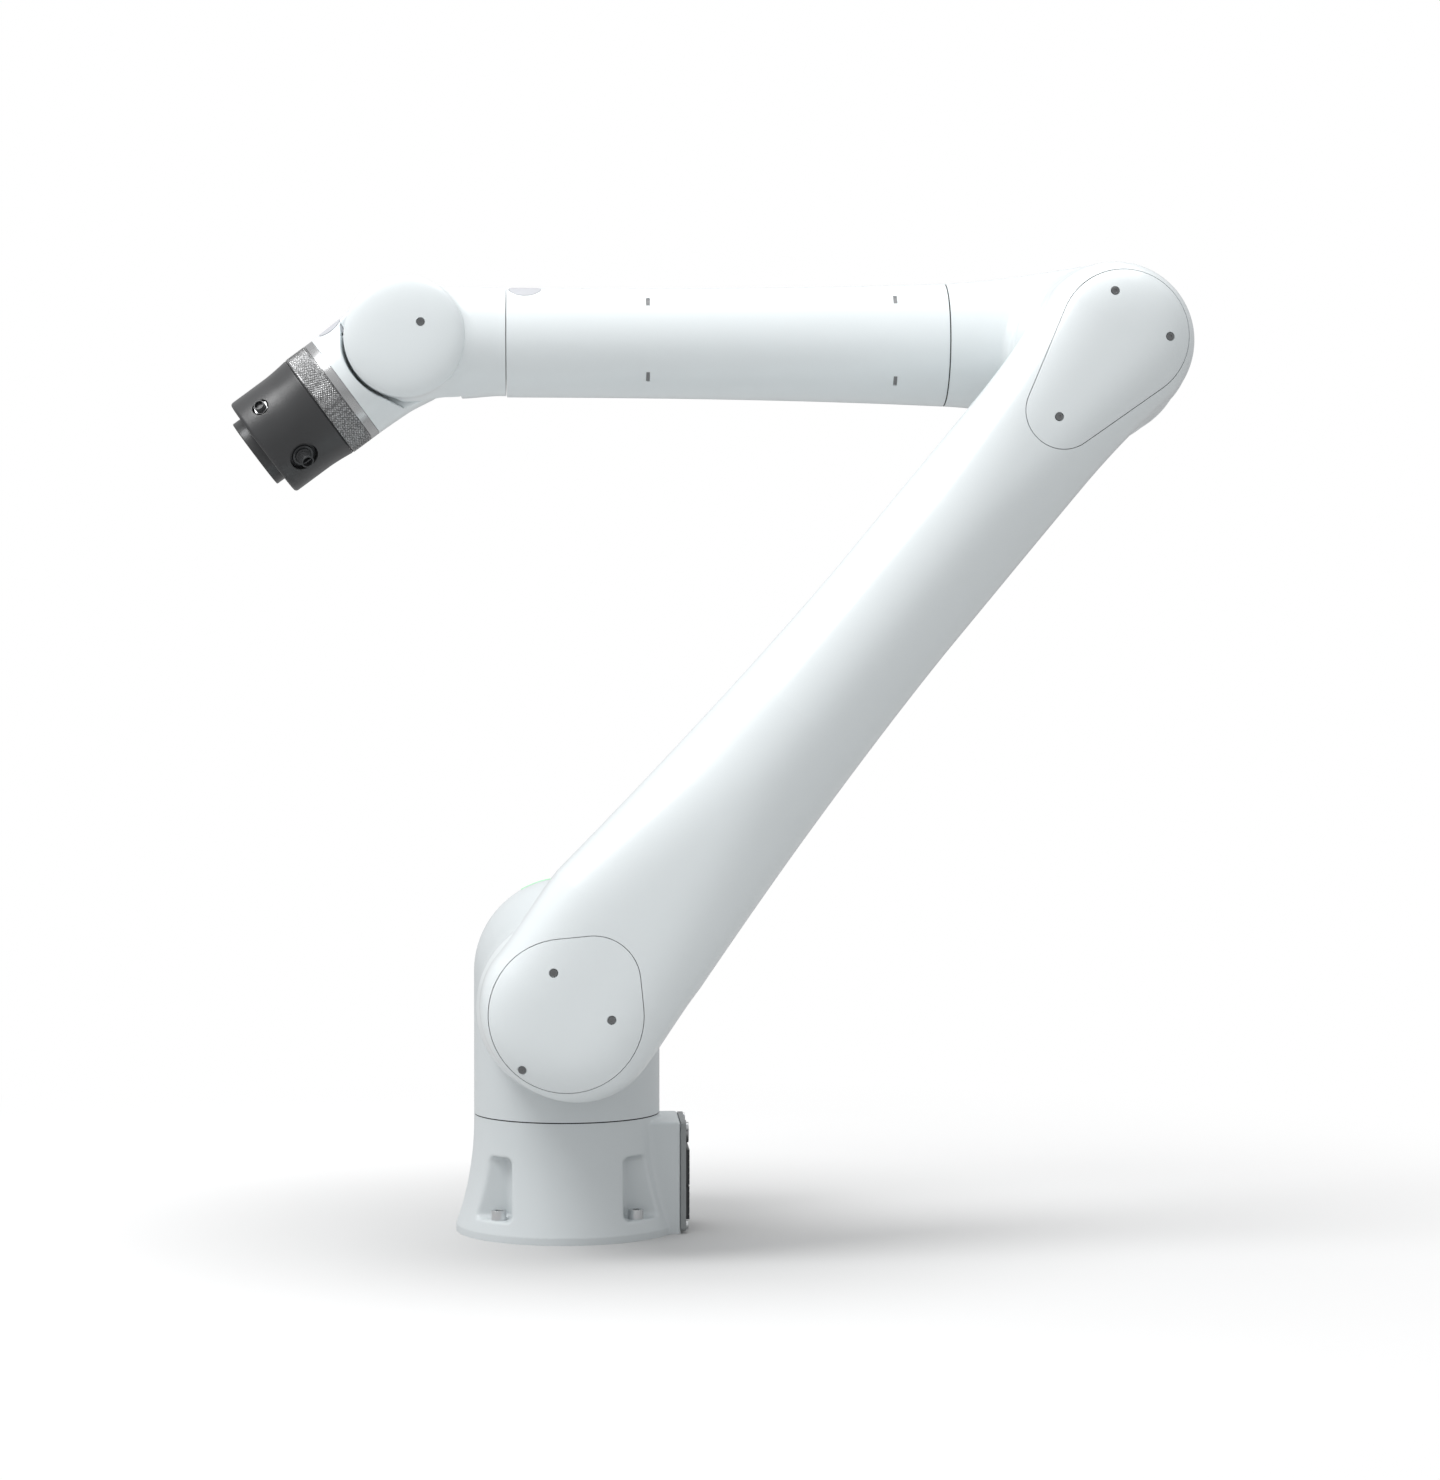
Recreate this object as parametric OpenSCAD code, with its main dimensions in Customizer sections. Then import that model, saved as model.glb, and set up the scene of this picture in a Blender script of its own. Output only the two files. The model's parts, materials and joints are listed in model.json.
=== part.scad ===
// Six-axis collaborative robot arm, standing on a bolted round foot.
// Millimetres, +Z up. The origin is the centre of the foot's underside, on the first joint's axis.
// +X points to the connector side of the foot. The upper arm stands on the -Y side of the turret.

/* [Foot and turret] */
// Radius of the foot where it meets the table
foot_r = 95.5; // [94.5:0.5:97]
// Radius of the column above the foot's flare, and of the turret
column_r = 80; // [79:0.5:82]
// Height of the foot, up to the first joint's seam
foot_h = 100; // [98:1:104]
// Height of the shoulder axis above the table
shoulder_z = 200; // [198:1:215]
// Distance of the four mounting screws from the axis, along X and along Y
screw_xy = 58; // [57:0.5:60]

/* [Links] */
// Length of the upper arm, shoulder axis to elbow axis
arm_len = 710; // [650:5:760]
// Distance from the elbow axis to the wrist axis, along the forearm
forearm_len = 586; // [560:2:620]
// Height of the forearm's axis above the elbow axis
forearm_rise = 14; // [10:1:16]
// Distance from the wrist axis to the flange face
tool_len = 162; // [161:0.5:166]

/* [Pose] */
// Slope of the upper arm above the horizontal
arm_pitch = 50.8; // [30:0.5:80]
// Slope of the tool below the forearm's line
tool_dip = 36.7; // [-60:0.5:80]

/* [Sections] */
// Radius of the shoulder housing
shoulder_r = 76.5; // [75:0.5:78]
// Radius of the elbow end of the upper arm
elbow_r = 69; // [67:0.5:71]
// Radius of the upper arm at its waist
waist_r = 57; // [54:0.5:60]
// Radius of the forearm beside the wrist
forearm_r = 46.8; // [46:0.2:48]
// Radius of the wrist housings, about the wrist axis
wrist_r = 51.5; // [50.5:0.5:52.5]
// Radius of the collars behind the tool
collar_r = 48.5; // [48:0.1:48.9]
// Wall of the cast housings
wall = 6; // [5:0.5:6.5]

/* [Tool flange] */
// Outside radius of the tool flange
flange_r = 31.5; // [31:0.5:33]
// Pitch circle of the flange's threaded holes
flange_pcd = 50; // [49:0.5:51]
// Radius of the flange's register bore
register_r = 15.75; // [15:0.05:16]

/* [Hidden] */
$fn = 96;

// Seams and fits
seam = 1;             // gap between two links that turn on each other
fit = 0.05;           // running clearance of a hub in its drive, on the radius
slack = 0.3;          // clearance between pieces of one link
cover_gap = 0.5;      // visible gap round a cover

// Derived places
elbow_x = arm_len * cos(arm_pitch);
elbow_z = shoulder_z + arm_len * sin(arm_pitch);
forearm_z = elbow_z + forearm_rise;
wrist_x = elbow_x - forearm_len;

// Planes of the seams, measured from the arm's mid plane towards the front
side_seam = 86;                    // shoulder and elbow seams
wrist_seam = 18;                   // wrist seam
roll_seam = 122;                   // forearm's roll seam, from the elbow axis
fork_seam = 500;                   // forearm tube to wrist fork, from the elbow axis
tool_seam = 93.5;                  // tool's roll seam, from the wrist axis

// Upper arm
arm_mid = 150;                     // distance of the upper arm's axis in front of the mid plane
arm_front = 214;                   // foremost level of the shoulder housing
elbow_front = 206;                 // foremost level of the elbow housing
cover_t = 3.5;                     // thickness of the covers
screw_sink = 2.6;                  // depth of the cover screws' seats below the skin
cover_hole_r = 3.6;                // radius of the recesses over their heads
arm_wall = wall + 1;

// Foot details
notch_in = 47;                     // inner walls of the screw notches, from the axis
notch_floor = 16.5;                // level that the mounting screws' heads stand on
notch_top = 69;
box_half = 40;                     // half width of the connector box
box_x = 97;                        // its outer face
box_top = 96;
panel_t = 4.5;                     // thickness of the connector panel
panel_x = box_x + panel_t;

// Tool details
ring_t0 = 65;                      // start of the trim ring, from the wrist axis
grip_t0 = 73;                      // start of the grip ring
housing_t1 = 153.5;                // end of the tool housing

// ---------------------------------------------------------------- helpers

// Points of an arc from angle a0 to a1 about a centre
function arc(cx, cy, r, a0, a1, n = 6) =
    [for (i = [0:n]) let (a = a0 + (a1 - a0) * i / n) [cx + r * cos(a), cy + r * sin(a)]];

// Outline round two circles, a at one end and b at the other, joined by their tangents
function lobe(a, ra, b, rb, n = 20) =
    let (d = norm(b - a), dir = atan2(b[1] - a[1], b[0] - a[0]), lean = acos((ra - rb) / d))
    concat(arc(a[0], a[1], ra, dir + lean, dir + 360 - lean, n),
           arc(b[0], b[1], rb, dir - lean, dir + lean, n));

// Turned drum from z = 0 to z = h, rounded at its far edge and crowned at its far face
module drum(r, h, edge, crown = 0)
    rotate_extrude() polygon(concat([[0, 0], [r, 0]], arc(r - edge, h - edge, edge, 0, 90), [[0, h + crown]]));

module tube(ro, ri, h)
    difference() {
        cylinder(r = ro, h = h);
        translate([0, 0, -1]) cylinder(r = ri, h = h + 2);
    }

// Socket-head screw with its head's underside at z = 0, head up
module socket_screw(d, length) {
    head_r = 0.8125 * d;
    difference() {
        union() {
            cylinder(r = head_r, h = d);
            translate([0, 0, -length]) cylinder(r = d / 2, h = length + 0.01);
        }
        translate([0, 0, d / 2]) cylinder(r = 0.433 * d, h = d, $fn = 6);
    }
}

// Low-headed cover screw with its head's underside at z = 0, and the stepped hole that takes it
module cover_screw(length = 9) difference() {
    union() {
        cylinder(r = 3.1, h = 2);
        translate([0, 0, -length]) cylinder(r = 1.9, h = length + 0.01);
    }
    translate([0, 0, 0.7]) cylinder(r = 1.6, h = 3, $fn = 6);
}

module cover_screw_hole(depth = 12) {
    cylinder(r = cover_hole_r, h = 12);
    translate([0, 0, -depth]) cylinder(r = 2.1, h = depth + 1);
}

// Frames: each turns and moves its children to one place on the arm
// x right, y up, z towards the front
module facing_front() rotate([90, 0, 0]) children();
module at_shoulder() translate([0, 0, shoulder_z]) facing_front() children();
module at_elbow() translate([elbow_x, 0, elbow_z]) facing_front() children();
module at_wrist() translate([wrist_x, 0, forearm_z]) facing_front() children();
// x along the upper arm, z towards the front
module along_arm() translate([0, 0, shoulder_z]) rotate([0, -arm_pitch, 0]) facing_front() children();
// z along the forearm from the elbow axis to the wrist, x up
module along_forearm() translate([elbow_x, 0, forearm_z]) rotate([0, -90, 0]) children();
// z along the tool from the wrist axis, x to the tool's upper side
module along_tool() translate([wrist_x, 0, forearm_z]) rotate([0, -90 - tool_dip, 0]) children();

// Joint parts, in a frame whose z runs from the carrying link to the carried one, seam at z = 0.
// The drive is bolted to the inside of the carrying link's end wall.
module drive(can_r, can_h, hub_r, end_wall) {
    top = -seam / 2 - end_wall;
    difference() {
        union() {
            translate([0, 0, top - 8]) cylinder(r = can_r, h = 8);
            translate([0, 0, top - can_h]) cylinder(r = can_r - 4, h = can_h - 7);
        }
        translate([0, 0, top - can_h - 1]) cylinder(r = hub_r + fit, h = can_h + 2);
        for (a = [0:45:315]) rotate(a) translate([can_r - 3.2, 0, top - 9]) cylinder(r = 1.25, h = 10);
    }
}

// The hub is bolted to the inside of the carried link's end wall, and runs in the drive.
module hub(hub_r, reach, end_wall, plate_r) {
    inner = seam / 2 + end_wall;
    difference() {
        union() {
            translate([0, 0, inner]) cylinder(r = plate_r, h = 6);
            translate([0, 0, -reach]) cylinder(r = hub_r, h = reach + inner + 1);
        }
        translate([0, 0, -reach - 1]) cylinder(r = hub_r * 0.55, h = reach + inner + 10);
    }
}

// Seal ring lying on the carrying link's face
module seal(ro, ri) translate([0, 0, -seam / 2]) tube(ro, ri, seam - slack);

// ---------------------------------------------------------------- foot

// Radius of the foot's outside at height z: a column that flares out towards the table
function foot_radius(z) = min(foot_r, column_r + 17.5 * pow((foot_h - z) / foot_h, 2.2));
foot_cavity_r = 61;
foot_wall = 8;        // end wall under the first seam

module each_corner() for (a = [45:90:315]) rotate(a) translate([screw_xy * sqrt(2), 0, 0]) children();

// Square notch with rounded upper edges, in the quarter of +X and +Y
module notch() {
    round_r = 5;
    reach = 70;
    low = notch_in + round_r;
    high = notch_top - round_r;
    translate([notch_in, notch_in, notch_floor]) cube([reach, reach, high - notch_floor]);
    translate([low, low, high - 1]) cube([reach, reach, round_r + 1]);
    translate([low, low, high]) {
        sphere(r = round_r);
        rotate([0, 90, 0]) cylinder(r = round_r, h = reach);
        rotate([-90, 0, 0]) cylinder(r = round_r, h = reach);
    }
}

module foot_casting() color("gainsboro") difference() {
    union() {
        rotate_extrude() polygon(concat([[0, 0], [foot_r - 2, 0]],
            [for (z = [2:7:foot_h]) [foot_radius(z), z]], [[column_r, foot_h], [0, foot_h]]));
        translate([50, -box_half, 2]) cube([box_x - 50, 2 * box_half, box_top - 2]);
    }
    translate([0, 0, 14]) cylinder(r = foot_cavity_r, h = foot_h - foot_wall - 14);
    translate([0, 0, 14]) cylinder(r = 39, h = foot_h);
    translate([45, -box_half + wall, 8]) cube([box_x, 2 * (box_half - wall), box_top - 8 - wall]);
    for (a = [0:90:270]) rotate(a) notch();
    each_corner() translate([0, 0, -1]) cylinder(r = 4.5, h = notch_floor + 2);
}

// Places of the panel's four screws
module panel_corners() for (y = [-34, 34], z = [7, 91]) translate([0, y, z]) rotate([0, 90, 0]) children();

module connector_panel() color("dimgray") difference() {
    translate([box_x, 0, 0]) rotate([90, 0, 90]) linear_extrude(panel_t) union() {
        translate([-box_half + 3.5, 2.5]) square([2 * box_half - 7, 93]);
        translate([-box_half + 0.5, 5.5]) square([2 * box_half - 1, 87]);
        for (y = [-1, 1], z = [5.5, 92.5]) translate([y * (box_half - 3.5), z]) circle(r = 3);
    }
    translate([box_x - 1, 0, 82]) rotate([0, 90, 0]) cylinder(r = 8.3, h = panel_t + 2);
    translate([box_x - 1, -20.3, 42.7]) cube([panel_t + 2, 40.6, 24.6]);
    translate([box_x - 1, -18.3, 12.7]) cube([panel_t + 2, 36.6, 22.6]);
    translate([box_x - 1, 0, 0]) panel_corners() cylinder(r = 2.2, h = panel_t + 2);
}

module panel_screws() color("silver") translate([panel_x, 0, 0]) panel_corners() difference() {
    union() {
        cylinder(r = 3.6, h = 2);
        translate([0, 0, -panel_t + 0.2]) cylinder(r = 2, h = panel_t);
    }
    translate([0, 0, 0.9]) cylinder(r = 1.3, h = 3, $fn = 6);
}

module network_socket() color("silver") translate([panel_x, 0, 82]) rotate([0, 90, 0]) difference() {
    union() {
        cylinder(r = 10.5, h = 1.6);
        cylinder(r = 8.8, h = 3.6);
        translate([0, 0, -14]) cylinder(r = 8, h = 14.5);
    }
    translate([0, 0, -8]) tube(6.6, 4.2, 20);
}

module block_socket(z0, z1, half, slots) translate([panel_x, 0, 0]) difference() {
    union() {
        translate([0, -half, z0]) cube([3.6, 2 * half, z1 - z0]);
        translate([-16, -half + 5, z0 + 3]) cube([17, 2 * half - 10, z1 - z0 - 6]);
    }
    translate([-10, -half + 8, z0 + 6]) cube([20, 2 * half - 16, z1 - z0 - 12]);
    for (i = [0:slots - 1]) translate([2.4, -half - 1, z0 + 4 + i * (z1 - z0 - 8) / (slots - 1)])
        cube([2, 3, 1.2]);
}

module control_socket() color("darkslategray") block_socket(40, 70, 25, 5);
module power_socket() color("dimgray") block_socket(10, 38, 23, 4);

// M8 screws with a waisted shank: the full thread starts at the foot's underside
module mounting_screws() color("silver") each_corner() {
    translate([0, 0, notch_floor]) socket_screw(8, 0);
    translate([0, 0, -1]) cylinder(r = 3.3, h = notch_floor + 1.5);
    translate([0, 0, -13.5]) cylinder(r = 4, h = 13.5);
}

module foot_drive() color("slategray") translate([0, 0, foot_h + seam / 2]) drive(57, 66, 36, foot_wall);
module foot_seal() color("black") translate([0, 0, foot_h + seam / 2]) seal(column_r - 0.8, column_r - 8);

// ---------------------------------------------------------------- turret

turret_z = foot_h + seam;
dome_z = shoulder_z + 23;          // centre of the turret's domed top
end_wall = 8;                      // end walls of the large joints

module turret_body(inset) {
    translate([0, 0, turret_z + (inset > 0 ? end_wall : 0)])
        cylinder(r = column_r - inset, h = dome_z - turret_z - (inset > 0 ? end_wall : 0));
    translate([0, 0, dome_z]) sphere(r = column_r - inset);
    at_shoulder() translate([0, 0, -20])
        cylinder(r = shoulder_r - inset, h = side_seam - seam / 2 + 20 - (inset > 0 ? end_wall : 0));
    at_shoulder() translate([0, 0, -84 + inset]) cylinder(r = 58 - inset, h = 84 - inset);
}

// The status light's groove runs over the dome, just behind the mid plane
light_w = 6;
module light_place() translate([0, 0, dome_z]) facing_front() translate([0, 0, -0.3 - light_w]) children();

// Screws of a round back cover whose outer face is at z = -level, on a circle of radius r
module back_screw_places(r, level) mirror([0, 0, 1]) for (a = [90:120:330])
    rotate(a) translate([r, 0, level - screw_sink]) children();

module turret_casting() color("lightgray") difference() {
    turret_body(0);
    turret_body(wall);
    translate([0, 0, turret_z - 1]) cylinder(r = 36 + slack, h = 20);
    at_shoulder() cylinder(r = 37, h = 100);
    at_shoulder() translate([0, 0, -90]) cylinder(r = 44, h = 30);
    at_shoulder() back_screw_places(50, 90) cover_screw_hole();
    light_place() rotate(60) rotate_extrude(angle = 60) translate([78, 0]) square([6, light_w]);
}

module turret_back_cover() color("gainsboro") at_shoulder() difference() {
    translate([0, 0, -84]) mirror([0, 0, 1]) drum(57.5, 6, 4);
    back_screw_places(50, 90) cover_screw_hole();
}

module turret_cover_screws() color("dimgray") at_shoulder() back_screw_places(50, 90) cover_screw();

module status_light() color("palegreen") light_place() translate([0, 0, slack]) rotate(60.5)
    rotate_extrude(angle = 59) translate([78, 0]) square([column_r - 77.5, light_w - 2 * slack]);

module turret_hub() color("silver") translate([0, 0, foot_h + seam / 2]) hub(36, 60, end_wall, 50);
module shoulder_drive() color("slategray") at_shoulder() translate([0, 0, side_seam]) drive(62, 74, 34, end_wall);
module shoulder_seal() color("black") at_shoulder() translate([0, 0, side_seam])
    seal(shoulder_r - 1, shoulder_r - 8);

// ---------------------------------------------------------------- upper arm

// Radius of the arm's tube at distance t from the shoulder axis
function arm_radius(t) =
    let (s = t / arm_len)
    s < 0.606 ? min(shoulder_r - 1, waist_r + 26.3 * pow(1 - s / 0.606, 1.6))
    : s > 0.845 ? waist_r + (elbow_r - waist_r - 1.5) * pow((s - 0.845) / 0.155, 2) : waist_r;

arm_inner = side_seam + seam / 2;  // level of the arm's inner face

module arm_body(inset) {
    back = inset > 0 ? end_wall : 0;
    translate([0, 0, arm_inner + back]) drum(shoulder_r - inset, arm_front - arm_inner - back - inset, 26 - inset);
    translate([arm_len, 0, arm_inner + back])
        drum(elbow_r - inset, elbow_front - arm_inner - back - inset, 28 - inset);
    intersection() {
        translate([0, 0, arm_mid]) rotate([0, 90, 0]) rotate_extrude()
            polygon(concat([[0, 0]], [for (i = [0:20]) [arm_radius(arm_len * i / 20) - inset, arm_len * i / 20]],
                [[0, arm_len]]));
        translate([-10, -100, arm_inner + back]) cube([arm_len + 20, 200, elbow_front - arm_inner - back - inset]);
    }
}

// Outlines of the two covers, seen from the front; grow moves them outwards
module shoulder_outline(grow = 0) polygon(lobe([0, 0], 62.8 + grow, [35, 0], 38 + grow));
module elbow_outline(grow = 0)
    polygon(lobe([arm_len + 4, 0], 50.5 + grow, [arm_len - 78, 0], 30 + grow));

shoulder_screws = [[21, 30], [21, -30], [-56, 0]];
elbow_screws = [[arm_len + 24.5, 29], [arm_len + 24.5, -29], [arm_len - 84, 0]];

// Level of a drum's rounded front at distance d from its axis
function front_level(front, r, edge, d) =
    d < r - edge ? front : front - edge + sqrt(max(0, edge * edge - pow(d - r + edge, 2)));

module shoulder_screw_places() for (p = shoulder_screws)
    translate([p[0], p[1], front_level(arm_front, shoulder_r, 26, norm(p)) - screw_sink]) children();
module elbow_screw_places() for (p = elbow_screws)
    translate([p[0], p[1], elbow_front - screw_sink]) children();

// Space of the two covers, and the lips inside their edges that they are screwed to
module cover_space(grow = 0) translate([0, 0, 150]) linear_extrude(80) {
    shoulder_outline(grow);
    elbow_outline(grow);
}

module cover_lips() intersection() {
    difference() {
        arm_body(cover_t + 0.8);
        arm_body(arm_wall);
    }
    difference() {
        cover_space(1);
        cover_space(-27);
        shoulder_screw_places() cover_screw_hole();
        elbow_screw_places() cover_screw_hole();
    }
}

module arm_casting() color("white") along_arm() {
    difference() {
        arm_body(0);
        arm_body(arm_wall);
        cover_space();
        translate([0, 0, arm_inner - 1]) cylinder(r = 34 + slack, h = 20);
        translate([arm_len, 0, arm_inner - 1]) cylinder(r = 33, h = 20);
    }
    cover_lips();
}

// A cover is the arm's own skin inside its outline, with recesses for its screws
module cover() intersection() {
    difference() {
        arm_body(0);
        arm_body(cover_t);
    }
    translate([0, 0, 150]) linear_extrude(80) children();
}

module shoulder_cover() color("white") along_arm() difference() {
    cover() shoulder_outline(-cover_gap);
    shoulder_screw_places() cover_screw_hole();
}
module elbow_cover() color("white") along_arm() difference() {
    cover() elbow_outline(-cover_gap);
    elbow_screw_places() cover_screw_hole();
}

module shoulder_cover_screws() color("dimgray") along_arm() shoulder_screw_places() cover_screw();
module elbow_cover_screws() color("dimgray") along_arm() elbow_screw_places() cover_screw();

// Gaskets between cover and seat
module gasket() intersection() {
    difference() {
        arm_body(cover_t);
        arm_body(cover_t + 0.8);
    }
    translate([0, 0, 150]) linear_extrude(80) children();
}
module shoulder_gasket() color("black") along_arm() gasket() difference() {
    shoulder_outline(-11);
    shoulder_outline(-14);
}
module elbow_gasket() color("black") along_arm() gasket() difference() {
    elbow_outline(-3);
    elbow_outline(-6);
}

module arm_hub() color("silver") along_arm() translate([0, 0, side_seam]) hub(34, 66, end_wall, 48);
module elbow_drive() color("slategray") along_arm() translate([arm_len, 0, side_seam]) mirror([0, 0, 1])
    drive(54, 70, 30, end_wall);
module elbow_seal() color("black") along_arm() translate([arm_len, 0, side_seam]) mirror([0, 0, 1])
    seal(elbow_r - 1, elbow_r - 8);

// ---------------------------------------------------------------- elbow link

elbow_back = 70;                   // rear face of the elbow link, behind the mid plane
elbow_drum_r = 75.5;

// Radius of the elbow link's root tube at distance s from the elbow axis
function root_radius(s) = 52.9 + 15.5 * pow(1 - s / roll_seam, 2.4);

module elbow_body(inset) {
    front = side_seam - seam / 2 - (inset > 0 ? end_wall : 0);
    at_elbow() {
        drum(elbow_drum_r - inset, front, 6.5);
        mirror([0, 0, 1]) drum(elbow_drum_r - inset, elbow_back - inset, 22);
    }
    end = roll_seam - seam / 2 - (inset > 0 ? end_wall : 0);
    along_forearm() rotate_extrude() polygon(concat([[0, 0]],
        [for (i = [0:12]) [root_radius(end * i / 12) - inset, end * i / 12]], [[0, end]]));
}

module elbow_casting() color("white") difference() {
    elbow_body(0);
    elbow_body(wall);
    at_elbow() cylinder(r = 30 + slack, h = 100);
    at_elbow() translate([0, 0, -elbow_back - 1]) cylinder(r = 38, h = 20);
    at_elbow() back_screw_places(44, elbow_back + 5) cover_screw_hole();
    along_forearm() translate([0, 0, roll_seam - 20]) cylinder(r = 25, h = 30);
}

module elbow_back_cover() color("white") at_elbow() difference() {
    translate([0, 0, -elbow_back]) mirror([0, 0, 1]) drum(52, 5, 3.5);
    back_screw_places(44, elbow_back + 5) cover_screw_hole();
}

module elbow_back_screws() color("dimgray") at_elbow() back_screw_places(44, elbow_back + 5) cover_screw();

module elbow_hub() color("silver") at_elbow() translate([0, 0, side_seam]) mirror([0, 0, 1])
    hub(30, 62, end_wall, 44);
module forearm_drive() color("slategray") along_forearm() translate([0, 0, roll_seam]) drive(43, 52, 22, end_wall);
module forearm_seal() color("black") along_forearm() translate([0, 0, roll_seam]) seal(52, 46);

// ---------------------------------------------------------------- forearm

// Radius of the forearm at distance s from the elbow axis
function tube_radius(s) =
    forearm_r + 6.1 * pow((fork_seam - s) / (fork_seam - roll_seam), 2.6);

module forearm_tube() color("white") along_forearm() {
    start = roll_seam + seam / 2;
    steps = 14;
    difference() {
        rotate_extrude() polygon(concat([[0, start]],
            [for (i = [0:steps]) let (s = start + (fork_seam - start) * i / steps) [tube_radius(s), s]],
            [[0, fork_seam]]));
        translate([0, 0, start + 6]) cylinder(r = 40.5, h = fork_seam);
        translate([0, 0, start - 1]) cylinder(r = 22 + slack, h = 10);
        clip_places() cube([5, 9, 3], center = true);
        pad_place() cylinder(r = 14, h = 5);
    }
}

// The four clips sit in pairs above and below the middle of the forearm's front
module clip_places() for (s = [168, 379.5], a = [-133, -47])
    translate([0, 0, s]) rotate(a) translate([tube_radius(s) - 0.6, 0, 0]) rotate([0, 90, 0]) children();

module forearm_clips() color("dimgray") along_forearm() clip_places()
    translate([0, 0, -0.4]) cube([4.4, 8.4, 1], center = true);

// The grey pad lies on the forearm's upper front, beside the fork seam
module pad_place() translate([0, 0, fork_seam - 15.5]) rotate(-20)
    translate([forearm_r - 3.2, 0, 0]) rotate([0, 90, 0]) children();

module forearm_pad() color("darkgray") along_forearm() intersection() {
    pad_place() cylinder(r = 13.7, h = 5);
    cylinder(r = forearm_r + 0.2, h = fork_seam);
}

module forearm_hub() color("silver") along_forearm() translate([0, 0, roll_seam]) hub(22, 44, 6, 34);

// Wrist fork: a plate that closes the forearm, and a one-sided arm to the wrist drum
fork_gap = 0.8;
fork_plate = 7;
drum_front = 44;                   // level where the wrist drum ends and its cap begins
cap_h = 14;

// The fork's arm: a half cone in front of the wrist seam
module fork_arm(inset) intersection() {
    along_forearm() translate([0, 0, fork_seam + fork_gap + inset])
        cylinder(r1 = forearm_r - inset, r2 = forearm_r + 2 - inset, h = forearm_len - fork_seam - 10);
    translate([wrist_x - 100, -100, forearm_z - 100])
        cube([300, 100 - wrist_seam - seam / 2 - inset, 200]);
}

module cap_screw_place() translate([14, 11, drum_front + cap_h - screw_sink]) children();

module wrist_fork() color("white") difference() {
    union() {
        at_wrist() translate([0, 0, wrist_seam + seam / 2])
            cylinder(r = wrist_r, h = drum_front - wrist_seam - seam / 2);
        fork_arm(0);
        along_forearm() translate([0, 0, fork_seam + fork_gap]) cylinder(r = forearm_r, h = fork_plate);
    }
    fork_arm(wall + 2);
    at_wrist() translate([0, 0, wrist_seam + seam / 2 + wall]) cylinder(r = wrist_r - wall, h = 60);
    at_wrist() translate([0, 0, drum_front]) cylinder(r = wrist_r + cover_gap, h = 40);
    at_wrist() cylinder(r = 20, h = 30);
    along_forearm() translate([0, 0, fork_seam]) cylinder(r = 14, h = 20);
}

module fork_cap() color("white") at_wrist() difference() {
    translate([0, 0, drum_front + cover_gap]) drum(wrist_r, cap_h, 13, 1.5);
    translate([0, 0, drum_front]) drum(wrist_r - 4.5, cap_h - 3.5, 9);
    cap_screw_place() cover_screw_hole();
}

module fork_cap_screw() color("dimgray") at_wrist() cap_screw_place() cover_screw();

module wrist_drive() color("slategray") at_wrist() translate([0, 0, wrist_seam]) mirror([0, 0, 1])
    drive(38, 21, 17, wall);
module wrist_seal() color("black") at_wrist() translate([0, 0, wrist_seam]) mirror([0, 0, 1]) seal(49, 44);

// ---------------------------------------------------------------- wrist link

wrist_back = 47;                   // rear face of the wrist drum, behind the mid plane
sleeve_r = 44;                     // sleeve that carries the two rings

// Radius of the wrist's neck at distance t from the wrist axis
function neck_radius(t) = collar_r + 3 * pow(1 - t / ring_t0, 1.5);

module wrist_body(inset) {
    at_wrist() translate([0, 0, wrist_seam - seam / 2 - inset]) mirror([0, 0, 1])
        drum(wrist_r - 0.5 - inset, wrist_back + wrist_seam - seam / 2 - 2 * inset, 16 - inset);
    along_tool() rotate_extrude() polygon(concat([[0, 0]],
        [for (i = [0:8]) [neck_radius(ring_t0 * i / 8) - inset, ring_t0 * i / 8]], [[0, ring_t0]]));
    along_tool() translate([0, 0, ring_t0 - 10])
        cylinder(r = sleeve_r - (inset > 0 ? 4 : 0), h = tool_seam - seam / 2 - ring_t0 + 10 - inset);
}

// Space that the fork's drum needs in front of the wrist link, flaring forwards
module fork_space(grow = 0) at_wrist() translate([0, 0, wrist_seam - seam / 2 - grow])
    cylinder(r1 = wrist_r + 2 + grow, r2 = wrist_r + 17 + grow, h = 36);

button_t = 46;                     // the button's place along the tool
module button_place() translate([0, 0, button_t]) rotate(-15)
    translate([neck_radius(button_t) - 4.6, 0, 0]) rotate([0, 90, 0]) children();

module wrist_casting() color("white") difference() {
    wrist_body(0);
    difference() {
        wrist_body(wall - 1);
        fork_space(wall - 1);
    }
    fork_space();
    at_wrist() cylinder(r = 17 + slack, h = 30);
    along_tool() translate([0, 0, ring_t0]) cylinder(r = 21, h = 60);
    along_tool() button_place() translate([0, 0, -8]) cylinder(r = 11.35, h = 20);
}

module wrist_hub() color("silver") at_wrist() translate([0, 0, wrist_seam]) mirror([0, 0, 1])
    hub(17, 22, wall - 1, 27);

module trim_ring() color("silver") along_tool() translate([0, 0, ring_t0 + 0.2])
    tube(collar_r, sleeve_r + 0.1, grip_t0 - ring_t0 - 0.4);

module grip_ring() color("gray") along_tool() translate([0, 0, grip_t0])
    tube(collar_r + 0.2, sleeve_r + 0.1, tool_seam - seam / 2 - grip_t0 - 0.2);

module tool_drive() color("slategray") along_tool() translate([0, 0, tool_seam]) drive(35, 21, 17, wall - 1);
module tool_seal() color("black") along_tool() translate([0, 0, tool_seam]) seal(46, 41);

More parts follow.
